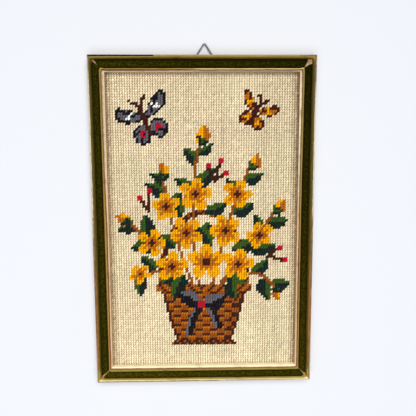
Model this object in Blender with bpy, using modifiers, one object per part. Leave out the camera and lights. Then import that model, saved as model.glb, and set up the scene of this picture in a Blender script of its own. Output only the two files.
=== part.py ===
# A framed needlework picture, lying on its back: +Z is its face and +Y its top.
# The origin is under the middle of the whole, hanging ring included. All sizes are in metres.

import math

import bmesh
import bpy
from mathutils import Matrix, Vector

MM = 0.001
GAP = 0.3 * MM  # clearance between pieces that touch

FRAME_WIDTH = 226 * MM
FRAME_HEIGHT = 337 * MM

# The moulding's section, at its insets from the outer edge and heights over the back.
MOULDING_WIDTH = 16.5 * MM
REBATE_INSET = 12.0 * MM
SHOULDER_HEIGHT = 7.2 * MM
CHANNEL_START = 4.4 * MM
CHANNEL_END = 12.0 * MM
CHANNEL_FLOOR = 11.4 * MM
VELVET_EDGE = 12.5 * MM
VELVET_CROWN = 13.0 * MM

CLOTH_THICKNESS = 2.0 * MM
BOARD_THICKNESS = 2.7 * MM

BRAD_DIAMETER = 1.2 * MM
BRAD_LENGTH = 15 * MM
BRAD_DEPTH = 4 * MM  # how far each is driven into its rail
BRAD_SPREAD = 0.3  # from the middle of a rail to each of its two brads, as a share of its length

# The hanging ring is a wire triangle that stands out past the top rail.
RING_ACROSS = 2 * MM  # right of the frame's middle
RING_WIRE = 1.4 * MM
RING_BEND = 1.5 * MM
RING_APEX = 13.2 * MM  # where its two sides would meet, beyond the rail
RING_HALF_WIDTH = 11.8 * MM
RING_INSET = 4.5 * MM  # its base wire, in from the rail's edge
RING_LEVEL = 2.0 * MM
RING_BEND_STEPS = 5

# The housing let into the back of the top rail, with a folded strap and its nail.
HOUSING_WIDTH = 28 * MM
HOUSING_DEPTH = 3.9 * MM
HOUSING_OVERSHOOT = 1 * MM  # past the rail's outer side and past its rebate
STRAP_WIDTH = 9 * MM
STRAP_LOOP_BORE = 1.0 * MM
STRAP_SHEET = 0.6 * MM
STRAP_END = 11.2 * MM
STRAP_LOOP_SIDES = 14
NAIL_INSET = 8.8 * MM
NAIL_RADIUS = 0.6 * MM
NAIL_HEAD_RADIUS = 1.7 * MM
NAIL_HEAD_BEVEL = 0.5 * MM
NAIL_HEAD = 0.7 * MM
NAIL_POINT = 2 * MM
NAIL_TIP = 9.6 * MM
HOLE_RADIUS = NAIL_RADIUS + GAP
NAIL_SIDES = 12
BRAD_SIDES = 8

# One row for each turn of the moulding's section.
#   inset, height in mm, and how the surface turns there
MOULDING_SECTION = (
    (0.0, 0.0, "corner"),
    (0.0, 12.4, "corner"),
    (0.4, 14.6, "round"),
    (1.6, 15.9, "round"),
    (3.0, 15.0, "round"),
    (4.4, 13.2, "corner"),
    (4.4, 11.4, "corner"),
    (12.0, 11.4, "corner"),
    (12.0, 12.7, "corner"),
    (12.7, 13.4, "round"),
    (13.7, 13.4, "round"),
    (14.6, 12.6, "corner"),
    (14.6, 12.0, "corner"),
    (15.4, 12.5, "round"),
    (16.5, 11.7, "corner"),
    (16.5, 7.2, "corner"),
    (12.0, 7.2, "corner"),
    (12.0, 0.0, "corner"),
)

# One row for each rail, counter-clockwise from the bottom: its quarter turns, the distance from
# the frame's middle to its outer edge, its length, and how far its velvet stops short of each
# mitre, at its start and at its end.
#   name, quarter_turns, reach, length, trim_at_start, trim_at_end
RAILS = (
    ("bottom", 0, FRAME_HEIGHT / 2, FRAME_WIDTH, 0.5 * MM, 0.6 * MM),
    ("right", 1, FRAME_WIDTH / 2, FRAME_HEIGHT, 0.6 * MM, 1.6 * MM),
    ("top", 2, FRAME_HEIGHT / 2, FRAME_WIDTH, 1.4 * MM, 0.5 * MM),
    ("left", 3, FRAME_WIDTH / 2, FRAME_HEIGHT, 0.4 * MM, 0.5 * MM),
)


def ring_reach():
    """How far the ring stands out past the top rail, with its apex bent round."""
    half_angle = math.atan2(RING_HALF_WIDTH, RING_APEX + RING_INSET)
    apex_drop = RING_BEND * (1 / math.sin(half_angle) - 1)
    return RING_APEX - apex_drop + RING_WIRE / 2


FRAME_MIDDLE = Vector((0, -ring_reach() / 2, 0))


# Helpers


def clear_scene():
    for obj in list(bpy.data.objects):
        bpy.data.objects.remove(obj, do_unlink=True)


def new_collection(name):
    collection = bpy.data.collections.new(name)
    bpy.context.scene.collection.children.link(collection)
    return collection


def finish(name, color, roughness, metallic=0.0):
    material = bpy.data.materials.new(name)
    material.use_nodes = True
    shader = material.node_tree.nodes["Principled BSDF"]
    shader.inputs["Base Color"].default_value = (*color, 1)
    shader.inputs["Roughness"].default_value = roughness
    shader.inputs["Metallic"].default_value = metallic
    return material


def add_object(name, data, collection, material=None):
    obj = bpy.data.objects.new(name, data)
    collection.objects.link(obj)
    if material:
        data.materials.append(material)
    return obj


def in_frame(obj, picture, matrix):
    """Places the object at this matrix from the middle of the frame's back."""
    obj.parent = picture
    obj.matrix_local = matrix


def flat_curve(name, half_depth):
    curve = bpy.data.curves.new(name, "CURVE")
    curve.dimensions = "2D"
    curve.fill_mode = "BOTH"
    curve.extrude = half_depth
    curve.resolution_u = 3
    return curve


def add_outline(curve, rows):
    """A closed outline of (x, y, turn), where turn is corner or round."""
    spline = curve.splines.new("BEZIER")
    spline.use_cyclic_u = True
    spline.bezier_points.add(len(rows) - 1)
    for point, (x, y, turn) in zip(spline.bezier_points, rows):
        point.co = (x, y, 0)
        handle = "VECTOR" if turn == "corner" else "AUTO"
        point.handle_left_type = handle
        point.handle_right_type = handle


def curve_to_mesh(curve, collection, material):
    """The curve's closed mesh as a new object, with its caps welded."""
    guide = bpy.data.objects.new(curve.name, curve)
    collection.objects.link(guide)
    graph = bpy.context.evaluated_depsgraph_get()
    mesh = bpy.data.meshes.new_from_object(guide.evaluated_get(graph))
    bpy.data.objects.remove(guide)
    shape = bmesh.new()
    shape.from_mesh(mesh)
    bmesh.ops.remove_doubles(shape, verts=shape.verts, dist=0.001 * MM)
    bmesh.ops.recalc_face_normals(shape, faces=shape.faces)
    shape.to_mesh(mesh)
    shape.free()
    mesh.materials.clear()
    smooth(mesh)
    return add_object(curve.name, mesh, collection, material)


def smooth(mesh):
    mesh.shade_smooth()
    mesh.set_sharp_from_angle(angle=math.radians(35))


def box(name, size, collection, material=None):
    shape = bmesh.new()
    bmesh.ops.create_cube(shape, size=1)
    bmesh.ops.scale(shape, verts=shape.verts, vec=size)
    mesh = bpy.data.meshes.new(name)
    shape.to_mesh(mesh)
    shape.free()
    return add_object(name, mesh, collection, material)


def cylinder(name, radius, length, sides, collection, material=None):
    """A cylinder along Z about its own middle."""
    shape = bmesh.new()
    bmesh.ops.create_cone(
        shape, cap_ends=True, segments=sides, radius1=radius, radius2=radius, depth=length
    )
    mesh = bpy.data.meshes.new(name)
    shape.to_mesh(mesh)
    shape.free()
    smooth(mesh)
    return add_object(name, mesh, collection, material)


def cut(obj, cutter):
    cutter.hide_render = True
    cutter.display_type = "WIRE"
    boolean = obj.modifiers.new(cutter.name, "BOOLEAN")
    boolean.operation = "DIFFERENCE"
    boolean.object = cutter


def rail_matrix(quarter_turns, reach):
    """From a rail's own axes (inset, height, along) to the frame's."""
    own_axes = Matrix(((0, 0, 1, 0), (1, 0, 0, -reach), (0, 1, 0, 0), (0, 0, 0, 1)))
    return Matrix.Rotation(quarter_turns * math.pi / 2, 4, "Z") @ own_axes


def mitre(mesh, half_length, trim_at_start, trim_at_end):
    """Slides each end of a prism back to the mitre, by its inset and its trim."""
    for vertex in mesh.vertices:
        if vertex.co.z < 0:
            vertex.co.z = -half_length + vertex.co.x + trim_at_start
        else:
            vertex.co.z = half_length - vertex.co.x - trim_at_end


# The frame


def make_rail(name, half_length, collection, material):
    curve = flat_curve("rail_" + name, half_length)
    add_outline(curve, [(x * MM, y * MM, turn) for x, y, turn in MOULDING_SECTION])
    rail = curve_to_mesh(curve, collection, material)
    half_gap = GAP / 2 * math.sqrt(2)
    mitre(rail.data, half_length, half_gap, half_gap)
    return rail


def make_velvet(name, half_length, trims, collection, material):
    start = CHANNEL_START + GAP
    end = CHANNEL_END - GAP
    floor = CHANNEL_FLOOR + GAP
    curve = flat_curve("velvet_" + name, half_length)
    rows = (
        (start, floor, "corner"),
        (start, VELVET_EDGE, "corner"),
        ((start + end) / 2, VELVET_CROWN, "round"),
        (end, VELVET_EDGE, "corner"),
        (end, floor, "corner"),
    )
    add_outline(curve, rows)
    strip = curve_to_mesh(curve, collection, material)
    mitre(strip.data, half_length, *trims)
    return strip


def make_frame(picture, parts, gilt, velvet):
    """The four rails by name, each with its strip of velvet."""
    rails = {}
    for name, quarter_turns, reach, length, trim_at_start, trim_at_end in RAILS:
        matrix = rail_matrix(quarter_turns, reach)
        rails[name] = make_rail(name, length / 2, parts, gilt)
        strip = make_velvet(name, length / 2, (trim_at_start, trim_at_end), parts, velvet)
        in_frame(rails[name], picture, matrix)
        in_frame(strip, picture, matrix)
    return rails


# What the frame holds


def make_sheet(name, thickness, top, picture, parts, material):
    """A flat sheet that fits the rebate, with its upper face at this height."""
    inset = REBATE_INSET + GAP
    size = (FRAME_WIDTH - 2 * inset, FRAME_HEIGHT - 2 * inset, thickness)
    sheet = box(name, size, parts, material)
    in_frame(sheet, picture, Matrix.Translation((0, 0, top - thickness / 2)))
    return sheet


def make_brad(number, rail, matrix, level, along, picture, parts, cutters, steel):
    """A brad that lies on the back of the board, driven into the rebate's wall."""
    lying = Matrix.Rotation(math.pi / 2, 4, "Y")
    middle = REBATE_INSET - BRAD_DEPTH + BRAD_LENGTH / 2
    brad = cylinder(
        f"brad_{number}", BRAD_DIAMETER / 2, BRAD_LENGTH, BRAD_SIDES, parts, steel
    )
    in_frame(brad, picture, matrix @ Matrix.Translation((middle, level, along)) @ lying)
    hole_length = 2 * (BRAD_DEPTH + GAP)
    hole = cylinder(
        f"brad_hole_{number}", BRAD_DIAMETER / 2 + GAP, hole_length, BRAD_SIDES, cutters
    )
    in_frame(hole, picture, matrix @ Matrix.Translation((REBATE_INSET, level, along)) @ lying)
    cut(rail, hole)


def make_brads(board_back, rails, picture, parts, cutters, steel):
    level = board_back - GAP - BRAD_DIAMETER / 2
    number = 0
    for name, quarter_turns, reach, length, *_ in RAILS:
        matrix = rail_matrix(quarter_turns, reach)
        for side in (-1, 1):
            number += 1
            along = side * BRAD_SPREAD * length
            make_brad(
                number, rails[name], matrix, level, along, picture, parts, cutters, steel
            )


# The hanger


def bend_points(corners, radius, steps):
    """A closed polygon's points, each corner bent to this radius."""
    points = []
    for index, corner in enumerate(corners):
        before = (corners[index - 1] - corner).normalized()
        after = (corners[(index + 1) % len(corners)] - corner).normalized()
        half_angle = before.angle(after) / 2
        centre = corner + (before + after).normalized() * radius / math.sin(half_angle)
        first = corner + before * radius / math.tan(half_angle) - centre
        last = corner + after * radius / math.tan(half_angle) - centre
        for step in range(steps + 1):
            points.append(centre + radius * first.slerp(last, step / steps))
    return points


def make_ring(matrix, picture, parts, steel):
    corners = [
        Vector((-RING_APEX, RING_LEVEL, 0)),
        Vector((RING_INSET, RING_LEVEL, RING_HALF_WIDTH)),
        Vector((RING_INSET, RING_LEVEL, -RING_HALF_WIDTH)),
    ]
    points = bend_points(corners, RING_BEND, RING_BEND_STEPS)
    curve = bpy.data.curves.new("hanger_ring", "CURVE")
    curve.dimensions = "3D"
    curve.bevel_depth = RING_WIRE / 2
    curve.bevel_resolution = 2
    spline = curve.splines.new("POLY")
    spline.use_cyclic_u = True
    spline.points.add(len(points) - 1)
    for point, place in zip(spline.points, points):
        point.co = (*place, 1)
    ring = add_object("hanger_ring", curve, parts, steel)
    in_frame(ring, picture, matrix)


def arc(centre, radius, start, end, steps):
    """Corner rows along an arc about the centre, angles in radians."""
    rows = []
    for step in range(steps + 1):
        angle = start + (end - start) * step / steps
        x = centre[0] + radius * math.cos(angle)
        y = centre[1] + radius * math.sin(angle)
        rows.append((x, y, "corner"))
    return rows


def make_strap(matrix, picture, parts, steel):
    """A strip folded round the ring's base wire, its two ends laid together."""
    centre = (RING_INSET, RING_LEVEL)
    outer = STRAP_LOOP_BORE + STRAP_SHEET
    top = RING_LEVEL + outer
    under = top - 2 * STRAP_SHEET
    meeting = math.asin((under - RING_LEVEL) / outer)
    curve = flat_curve("hanger_strap", STRAP_WIDTH / 2)
    loop = arc(centre, outer, math.pi / 2, 2 * math.pi + meeting, STRAP_LOOP_SIDES)
    add_outline(curve, loop + [(STRAP_END, under, "corner"), (STRAP_END, top, "corner")])
    bore = arc(centre, STRAP_LOOP_BORE, 0, 2 * math.pi, STRAP_LOOP_SIDES)
    add_outline(curve, bore[:-1])
    strap = curve_to_mesh(curve, parts, steel)
    in_frame(strap, picture, matrix)
    return strap, under


def make_nail(head_top, place, picture, parts, steel):
    """A turned nail, point up, whose head closes the strap from below."""
    head_face = head_top - NAIL_HEAD
    profile = (
        (0, NAIL_TIP),
        (NAIL_RADIUS, NAIL_TIP - NAIL_POINT),
        (NAIL_RADIUS, head_top),
        (NAIL_HEAD_RADIUS, head_top),
        (NAIL_HEAD_RADIUS, head_face + NAIL_HEAD_BEVEL / 2),
        (NAIL_HEAD_RADIUS - NAIL_HEAD_BEVEL, head_face),
        (0, head_face),
    )
    mesh = bpy.data.meshes.new("hanger_nail")
    edges = [(n, n + 1) for n in range(len(profile) - 1)]
    mesh.from_pydata([(x, 0, z) for x, z in profile], edges, [])
    nail = add_object("hanger_nail", mesh, parts, steel)
    turn = nail.modifiers.new("turn", "SCREW")
    turn.steps = turn.render_steps = NAIL_SIDES
    turn.use_merge_vertices = True
    turn.merge_threshold = 0.05 * MM
    in_frame(nail, picture, place)


def make_hanger(rail, picture, parts, cutters, steel):
    """The ring, strap and nail, in a housing cut in the back of the top rail."""
    # The top rail's own axes are turned half round, so its along runs to the left.
    matrix = rail_matrix(2, FRAME_HEIGHT / 2) @ Matrix.Translation((0, 0, -RING_ACROSS))
    housing_length = REBATE_INSET + 2 * HOUSING_OVERSHOOT
    size = (housing_length, 2 * HOUSING_DEPTH, HOUSING_WIDTH)
    housing = box("hanger_housing", size, cutters)
    in_frame(housing, picture, matrix @ Matrix.Translation((REBATE_INSET / 2, 0, 0)))
    cut(rail, housing)

    make_ring(matrix, picture, parts, steel)
    strap, strap_under = make_strap(matrix, picture, parts, steel)
    nail_place = Matrix.Translation((RING_ACROSS, FRAME_HEIGHT / 2 - NAIL_INSET, 0))
    make_nail(strap_under - GAP, nail_place, picture, parts, steel)

    hole_top = NAIL_TIP + GAP
    hole = cylinder("nail_hole", HOLE_RADIUS, hole_top, NAIL_SIDES, cutters)
    in_frame(hole, picture, nail_place @ Matrix.Translation((0, 0, hole_top / 2)))
    cut(rail, hole)
    cut(strap, hole)


def main():
    clear_scene()
    parts = new_collection("framed_needlework_picture")
    cutters = new_collection("cutters")

    gilt = finish("worn_gilt_wood", (0.42, 0.31, 0.15), 0.45, 0.3)
    velvet = finish("moss_velvet", (0.035, 0.036, 0.004), 0.9)
    wool = finish("wool_on_canvas", (0.72, 0.58, 0.37), 0.9)
    card = finish("grey_card", (0.30, 0.25, 0.18), 0.85)
    steel = finish("dull_steel", (0.22, 0.22, 0.22), 0.45, 1.0)

    picture = bpy.data.objects.new("picture", None)
    picture.location = FRAME_MIDDLE
    parts.objects.link(picture)

    rails = make_frame(picture, parts, gilt, velvet)
    cloth_top = SHOULDER_HEIGHT - GAP
    board_top = cloth_top - CLOTH_THICKNESS - GAP
    make_sheet("needlework", CLOTH_THICKNESS, cloth_top, picture, parts, wool)
    make_sheet("backing_board", BOARD_THICKNESS, board_top, picture, parts, card)
    make_brads(board_top - BOARD_THICKNESS, rails, picture, parts, cutters, steel)
    make_hanger(rails["top"], picture, parts, cutters, steel)


main()
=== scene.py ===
import math

import bmesh
import bpy
import numpy as np
from mathutils import Euler, Matrix, Vector, noise


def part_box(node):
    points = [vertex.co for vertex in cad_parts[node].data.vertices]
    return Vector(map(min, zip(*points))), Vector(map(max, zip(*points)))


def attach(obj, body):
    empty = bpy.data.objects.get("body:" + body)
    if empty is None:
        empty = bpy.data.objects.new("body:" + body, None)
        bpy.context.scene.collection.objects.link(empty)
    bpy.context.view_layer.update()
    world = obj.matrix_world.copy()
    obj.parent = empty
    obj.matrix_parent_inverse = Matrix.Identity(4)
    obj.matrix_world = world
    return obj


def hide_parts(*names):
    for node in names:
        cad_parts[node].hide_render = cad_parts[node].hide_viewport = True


# A needlework flower basket in its velvet-inlaid gilt frame, lying on its back:
# +Z is its face and +Y its top. Sizes are metres, and mm turns the tables' millimetres into them.
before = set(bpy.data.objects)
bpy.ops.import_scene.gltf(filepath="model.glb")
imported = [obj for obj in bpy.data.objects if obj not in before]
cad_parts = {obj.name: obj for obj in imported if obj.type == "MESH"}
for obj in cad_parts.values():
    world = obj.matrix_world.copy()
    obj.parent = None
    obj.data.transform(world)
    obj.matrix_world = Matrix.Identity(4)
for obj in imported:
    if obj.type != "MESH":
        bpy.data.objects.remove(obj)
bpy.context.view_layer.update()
mm = 0.001

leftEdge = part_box("rail_left")[0].x
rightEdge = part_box("rail_right")[1].x
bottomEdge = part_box("rail_bottom")[0].y
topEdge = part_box("rail_top")[1].y
middle = Vector(((leftEdge + rightEdge) / 2, (bottomEdge + topEdge) / 2, 0))
frameWidth = rightEdge - leftEdge
frameHeight = topEdge - bottomEdge
clothLow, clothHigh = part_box("needlework")
print("Frame loaded:", len(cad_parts), "nodes")


# Small helpers for node trees

def newFinish(name, roughness, metallic=0.0, specular=0.5):
    finish = bpy.data.materials.new(name)
    finish.use_nodes = True
    shader = finish.node_tree.nodes["Principled BSDF"]
    shader.inputs["Roughness"].default_value = roughness
    shader.inputs["Metallic"].default_value = metallic
    shader.inputs["Specular IOR Level"].default_value = specular
    return finish, finish.node_tree, shader


def plug(tree, value, socket):
    # joins another node's output, or sets a plain number or colour
    if isinstance(value, bpy.types.NodeSocket):
        tree.links.new(value, socket)
    elif hasattr(value, "__len__") and len(value) == 3 and socket.type == "RGBA":
        socket.default_value = (*value, 1)
    else:
        socket.default_value = value


def placeOf(tree):
    return tree.nodes.new("ShaderNodeTexCoord").outputs["Object"]


def attributeOf(tree, name):
    node = tree.nodes.new("ShaderNodeAttribute")
    node.attribute_name = name
    return node.outputs["Fac"]


def stretched(tree, vector, scale):
    node = tree.nodes.new("ShaderNodeMapping")
    plug(tree, vector, node.inputs["Vector"])
    node.inputs["Scale"].default_value = scale
    return node.outputs["Vector"]


def noiseOf(tree, vector, scale, detail=2.0, roughness=0.5):
    node = tree.nodes.new("ShaderNodeTexNoise")
    plug(tree, vector, node.inputs["Vector"])
    node.inputs["Scale"].default_value = scale
    node.inputs["Detail"].default_value = detail
    node.inputs["Roughness"].default_value = roughness
    return node.outputs["Fac"]


def calc(tree, operation, first, second=0.0, third=0.0):
    node = tree.nodes.new("ShaderNodeMath")
    node.operation = operation
    for value, socket in zip((first, second, third), node.inputs):
        plug(tree, value, socket)
    return node.outputs["Value"]


def scaledPair(tree, first, firstScale, second, secondScale):
    # two marks as a place to read noise at, each to its own scale
    node = tree.nodes.new("ShaderNodeCombineXYZ")
    plug(tree, calc(tree, "MULTIPLY", first, firstScale), node.inputs["X"])
    plug(tree, calc(tree, "MULTIPLY", second, secondScale), node.inputs["Y"])
    return node.outputs["Vector"]


def spanOf(tree, value, start, end, low=0.0, high=1.0):
    # a soft step from low to high as the value runs from start to end
    node = tree.nodes.new("ShaderNodeMapRange")
    node.interpolation_type = "SMOOTHSTEP"
    plug(tree, value, node.inputs["Value"])
    for socket, number in (("From Min", start), ("From Max", end), ("To Min", low), ("To Max", high)):
        node.inputs[socket].default_value = number
    return node.outputs["Result"]


def mixOf(tree, factor, first, second, blend="MIX"):
    node = tree.nodes.new("ShaderNodeMix")
    node.data_type = "RGBA"
    node.blend_type = blend
    plug(tree, factor, node.inputs["Factor"])
    plug(tree, first, node.inputs[6])  # the colour sockets named A and B
    plug(tree, second, node.inputs[7])
    return node.outputs[2]


def laidOver(tree, shade, amount, share, code, blend="MIX"):
    # a shade with another colour over it, as much as amount times share
    return mixOf(tree, calc(tree, "MULTIPLY", amount, share), shade, colour(code), blend)


def rampOf(tree, factor, stops):
    # stops are (position, colour or grey)
    node = tree.nodes.new("ShaderNodeValToRGB")
    ramp = node.color_ramp
    while len(ramp.elements) < len(stops):
        ramp.elements.new(1.0)
    for element, (position, tone) in zip(ramp.elements, stops):
        element.position = position
        element.color = (*tone, 1) if hasattr(tone, "__len__") else (tone, tone, tone, 1)
    plug(tree, factor, node.inputs["Fac"])
    return node.outputs["Color"]


def bumpOf(tree, height, depth, normal=None):
    node = tree.nodes.new("ShaderNodeBump")
    node.inputs["Distance"].default_value = depth
    plug(tree, height, node.inputs["Height"])
    if normal is not None:
        plug(tree, normal, node.inputs["Normal"])
    return node.outputs["Normal"]


def colour(code):
    # a hex colour as the linear colour that shaders take
    shares = [int(code[n:n + 2], 16) / 255 for n in (1, 3, 5)]
    return tuple(s / 12.92 if s < 0.04045 else ((s + 0.055) / 1.055) ** 2.4 for s in shares)


# Small helpers for meshes

def newObject(name, mesh, finish):
    piece = bpy.data.objects.new(name, mesh)
    bpy.context.scene.collection.objects.link(piece)
    mesh.materials.append(finish)
    return piece


def closedMesh(name, points, faces, sharpness=35):
    mesh = bpy.data.meshes.new(name)
    mesh.from_pydata([tuple(p) for p in points], [], faces)
    shape = bmesh.new()
    shape.from_mesh(mesh)
    bmesh.ops.recalc_face_normals(shape, faces=shape.faces)
    shape.to_mesh(mesh)
    shape.free()
    mesh.shade_smooth()
    mesh.set_sharp_from_angle(angle=math.radians(sharpness))
    return mesh


def sweptMesh(name, rings, sharpness=35, loop=False):
    # rings is (stations, points, 3): closed sections joined one to the next, and either capped at
    # both ends or joined from the last to the first
    stations, around = rings.shape[:2]
    faces = []
    for ring in range(stations if loop else stations - 1):
        here, there = ring * around, (ring + 1) % stations * around
        for point in range(around):
            following = (point + 1) % around
            faces.append((here + point, here + following, there + following, there + point))
    if not loop:
        faces.append(tuple(range(around)))
        faces.append(tuple(range((stations - 1) * around, stations * around)))
    return closedMesh(name, rings.reshape(-1, 3), faces, sharpness)


def rodRings(start, end, profile, sides=12):
    # sections of a turned rod: profile is (place from start to end, radius), in metres
    run = (Vector(end) - Vector(start)).normalized()
    one = run.orthogonal().normalized()
    two = run.cross(one)
    rings = []
    for place, radius in profile:
        centre = Vector(start) + run * place
        angles = [2 * math.pi * side / sides for side in range(sides)]
        rings.append([centre + one * radius * math.cos(a) + two * radius * math.sin(a) for a in angles])
    return np.array(rings)


def addMark(mesh, name, values, domain="POINT"):
    mark = mesh.attributes.new(name, "FLOAT", domain)
    mark.data.foreach_set("value", np.asarray(values, np.float32))


def meshPoints(mesh):
    points = np.empty(len(mesh.vertices) * 3, np.float32)
    mesh.vertices.foreach_get("co", points)
    return points.reshape(-1, 3).astype(float)


def setIn(piece, slot, *nodes):
    # joins the finished piece to the frame
    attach(piece, "root")
    if nodes:
        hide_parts(*nodes)
    return piece


def softNoise(x, y, z=0.0):
    return noise.noise(Vector((x, y, z)))


# The frame's four rails

rails = {
    # name: quarter turns from the bottom rail; a rail's own length runs to the right along the
    # bottom, up the right side, to the left along the top and down the left side
    "turns": {"bottom": 0, "right": 1, "top": 2, "left": 3},
    "pitch": 1.3,  # between sections along a rail
    "endPitch": 0.3,
    "endRun": 3.0,
    "curveSteps": 4,
    "wear": 0.16,  # how deep the lips are dented
    "sway": 0.18,  # how far a lip strays over the length of a rail
    "seam": 0.03,
    "settle": 4.0,  # the run from a corner over which the shifts and dents come in
    "aboveFloor": 11.3,  # only what is higher than this is shifted
    "cutDepth": 1.1,  # faces this far inside the section, and lower than cutBelow, were cut into it
    "cutBelow": 7.0,
    "swayWaves": (70, 9),  # lengths of its waves along and across the rail
    "dentWaves": (5, 1.6),
    "fineWaves": (1.9, 0.9),
    "channelFloor": (4.5, 11.9, 11.5),  # the insets of its edges, and a height just above it
    "swell": 0.9,  # how far that floor rises where two rails meet, and how far along it reaches
    # how far the channel's outer and inner edges and the groove beside it were cut from their
    # place, at shares of the rail's half length
    "outerShift": {
        "bottom": ((-1, -0.9), (-0.6, -1.2), (0.5, -1.4), (1, -1.45)),
        "right": ((-1, 0.0), (-0.7, 0.5), (0.4, 0.4), (1, -0.1)),
        "top": ((-1, -0.5), (0.5, -0.6), (1, -0.2)),
        "left": ((-1, -0.5), (-0.5, -0.1), (0.1, 0.3), (0.45, 0.1), (1, 0.1)),
    },
    "innerShift": {
        "bottom": ((-1, -0.7), (1, -0.7)),
        "right": ((-1, 0.4), (0.2, 0.5), (1, -0.5)),
        "top": ((-1, 0.9), (1, 0.9)),
        "left": ((-1, -1.0), (0.0, -0.2), (1, 0.4)),
    },
    "grooveShift": {
        "bottom": ((-1, -0.2), (-0.5, -0.4), (0.3, -0.7), (1, -0.75)),
        "right": ((-1, 0.0), (0.4, 0.2), (1, -0.6)),
        "top": ((-1, 0.4), (0.05, 0.4), (0.3, 0.3), (1, 0.35)),
        "left": ((-1, -1.3), (-0.2, -0.5), (0.1, 0.3), (0.5, 0.1), (1, 0.2)),
    },
}

# inset from the outer edge and height in mm, how the section turns there, the finish that starts
# there, and the share of the wear that the point takes
mouldingRows = (
    (0.0, 0.0, "corner", "side", 0.0),
    (0.0, 12.2, "round", None, 0.3),
    (0.3, 14.3, "round", "edge", 1.0),
    (0.8, 15.3, "round", "cream", 1.0),
    (1.6, 15.9, "round", None, 1.0),
    (2.0, 15.75, "round", "gold", 0.8),
    (3.3, 14.6, "round", "olive", 0.5),
    (3.8, 13.9, "round", None, 0.4),
    (4.35, 13.0, "round", None, 0.2),
    (4.4, 11.4, "corner", "channel", 0.0),
    (12.0, 11.4, "corner", None, 0.0),
    (12.0, 12.6, "round", "olive", 0.2),
    (12.5, 13.3, "round", "lip", 0.7),
    (13.3, 13.5, "round", None, 1.0),
    (13.9, 13.3, "round", "groove", 0.6),
    (14.6, 12.3, "round", None, 0.2),
    (14.9, 12.2, "round", "fillet", 0.2),
    (15.5, 12.5, "round", None, 0.5),
    (16.2, 12.25, "round", None, 0.6),
    (16.5, 11.6, "round", "wall", 0.4),
    (16.5, 7.2, "corner", "bare", 0.0),
    (12.0, 7.2, "corner", None, 0.0),
    (12.0, 0.0, "corner", None, 0.0),
    (rails["seam"], 0.0, "corner", None, 0.0),
)
channelMiddle = 8.2  # insets on either side of it follow the channel's outer or inner edge
bareWay = 0.9  # a place on the way round the section that is bare wood


def fromTable(rows, share):
    # reads a short table of (place, amount), the place often a share along the rail
    return np.interp(share, [row[0] for row in rows], [row[1] for row in rows])


def channelShift(name, edge, share, fromEnd):
    # how far an edge of the channel is off its place, nothing at the very corners
    stray = 0.2 * softNoise(share * 7, rails["turns"][name] * 3.1, len(edge))
    shift = fromTable(rails[edge + "Shift"][name], share) + stray
    return shift * min(1, fromEnd / (rails["settle"] * mm)) * mm


def shiftedInset(inset, height, shifts):
    # a point of the section once the channel's edges and the groove have been moved
    if height < rails["aboveFloor"] * mm:
        return inset
    outer, inner, groove = shifts
    place = inset / mm
    if place < channelMiddle:
        return inset + outer * min(1, max(0, (place - 1.6) / 2.6))
    inset += inner * min(1, max(0, 13.3 - place))
    return inset + groove * max(0, min(1, (place - 12.3) / 1.4, 16 - place))


def railPlace(name):
    # from a rail's own axes (inset, height, along) to the row frame
    turns = rails["turns"][name]
    reach = frameHeight / 2 if turns % 2 == 0 else frameWidth / 2
    own = Matrix(((0, 0, 1, 0), (1, 0, 0, -reach), (0, 1, 0, 0), (0, 0, 0, 1)))
    return Matrix.Translation(middle) @ Matrix.Rotation(turns * math.pi / 2, 4, "Z") @ own


def railLength(name):
    return frameWidth if rails["turns"][name] % 2 == 0 else frameHeight


def moved(place, points):
    matrix = np.array(place)
    return points @ matrix[:3, :3].T + matrix[:3, 3]


def roundedSection(rows, steps):
    # the rows' closed outline with its round turns curved, as (inset, height, wear) in metres
    count = len(rows)
    corners = [Vector(row[:2]) for row in rows]
    section = []
    for index, row in enumerate(rows):
        after = rows[(index + 1) % count]
        first, last = corners[index], corners[(index + 1) % count]
        reach = (last - first).length / 3
        straight = (last - first).normalized()
        before, beyond = corners[index - 1], corners[(index + 2) % count]
        out = (last - before).normalized() if row[2] == "round" else straight
        into = (beyond - first).normalized() if after[2] == "round" else straight
        pieces = steps if "round" in (row[2], after[2]) else 1
        for step in range(pieces):
            t = step / pieces
            one, two = first + out * reach, last - into * reach
            spot = ((1 - t) ** 3 * first + 3 * t * (1 - t) ** 2 * one
                    + 3 * t * t * (1 - t) * two + t ** 3 * last)
            section.append((spot.x * mm, spot.y * mm, (1 - t) * row[4] + t * after[4]))
    return np.array(section)


def girthOf(section):
    # how far round the section each of its points lies, and the whole way
    steps = np.linalg.norm(np.roll(section[:, :2], -1, axis=0) - section[:, :2], axis=1)
    return np.concatenate([[0], np.cumsum(steps)[:-1]]), steps.sum()


def bandStarts(rows, steps):
    # where each finish starts, as a share of the way round
    section = roundedSection(rows, steps)
    girth, whole = girthOf(section)
    starts = []
    for row in rows:
        if row[3]:
            nearest = np.argmin(np.hypot(section[:, 0] - row[0] * mm, section[:, 1] - row[1] * mm))
            starts.append((girth[nearest] / whole, row[3]))
    return starts


def stationsAlong(half, spec):
    # places from -half to half, close together near both ends
    run = np.arange(0, spec["endRun"], spec["endPitch"]) * mm
    inner = np.linspace(-half + spec["endRun"] * mm, half - spec["endRun"] * mm,
                        round((2 * half - 2 * spec["endRun"] * mm) / (spec["pitch"] * mm)) + 1)
    return np.concatenate([-half + run, inner, (half - run)[::-1]])


def railNoise(waves, along, inset, seed):
    return softNoise(along / (waves[0] * mm), inset / (waves[1] * mm), seed)


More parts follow.
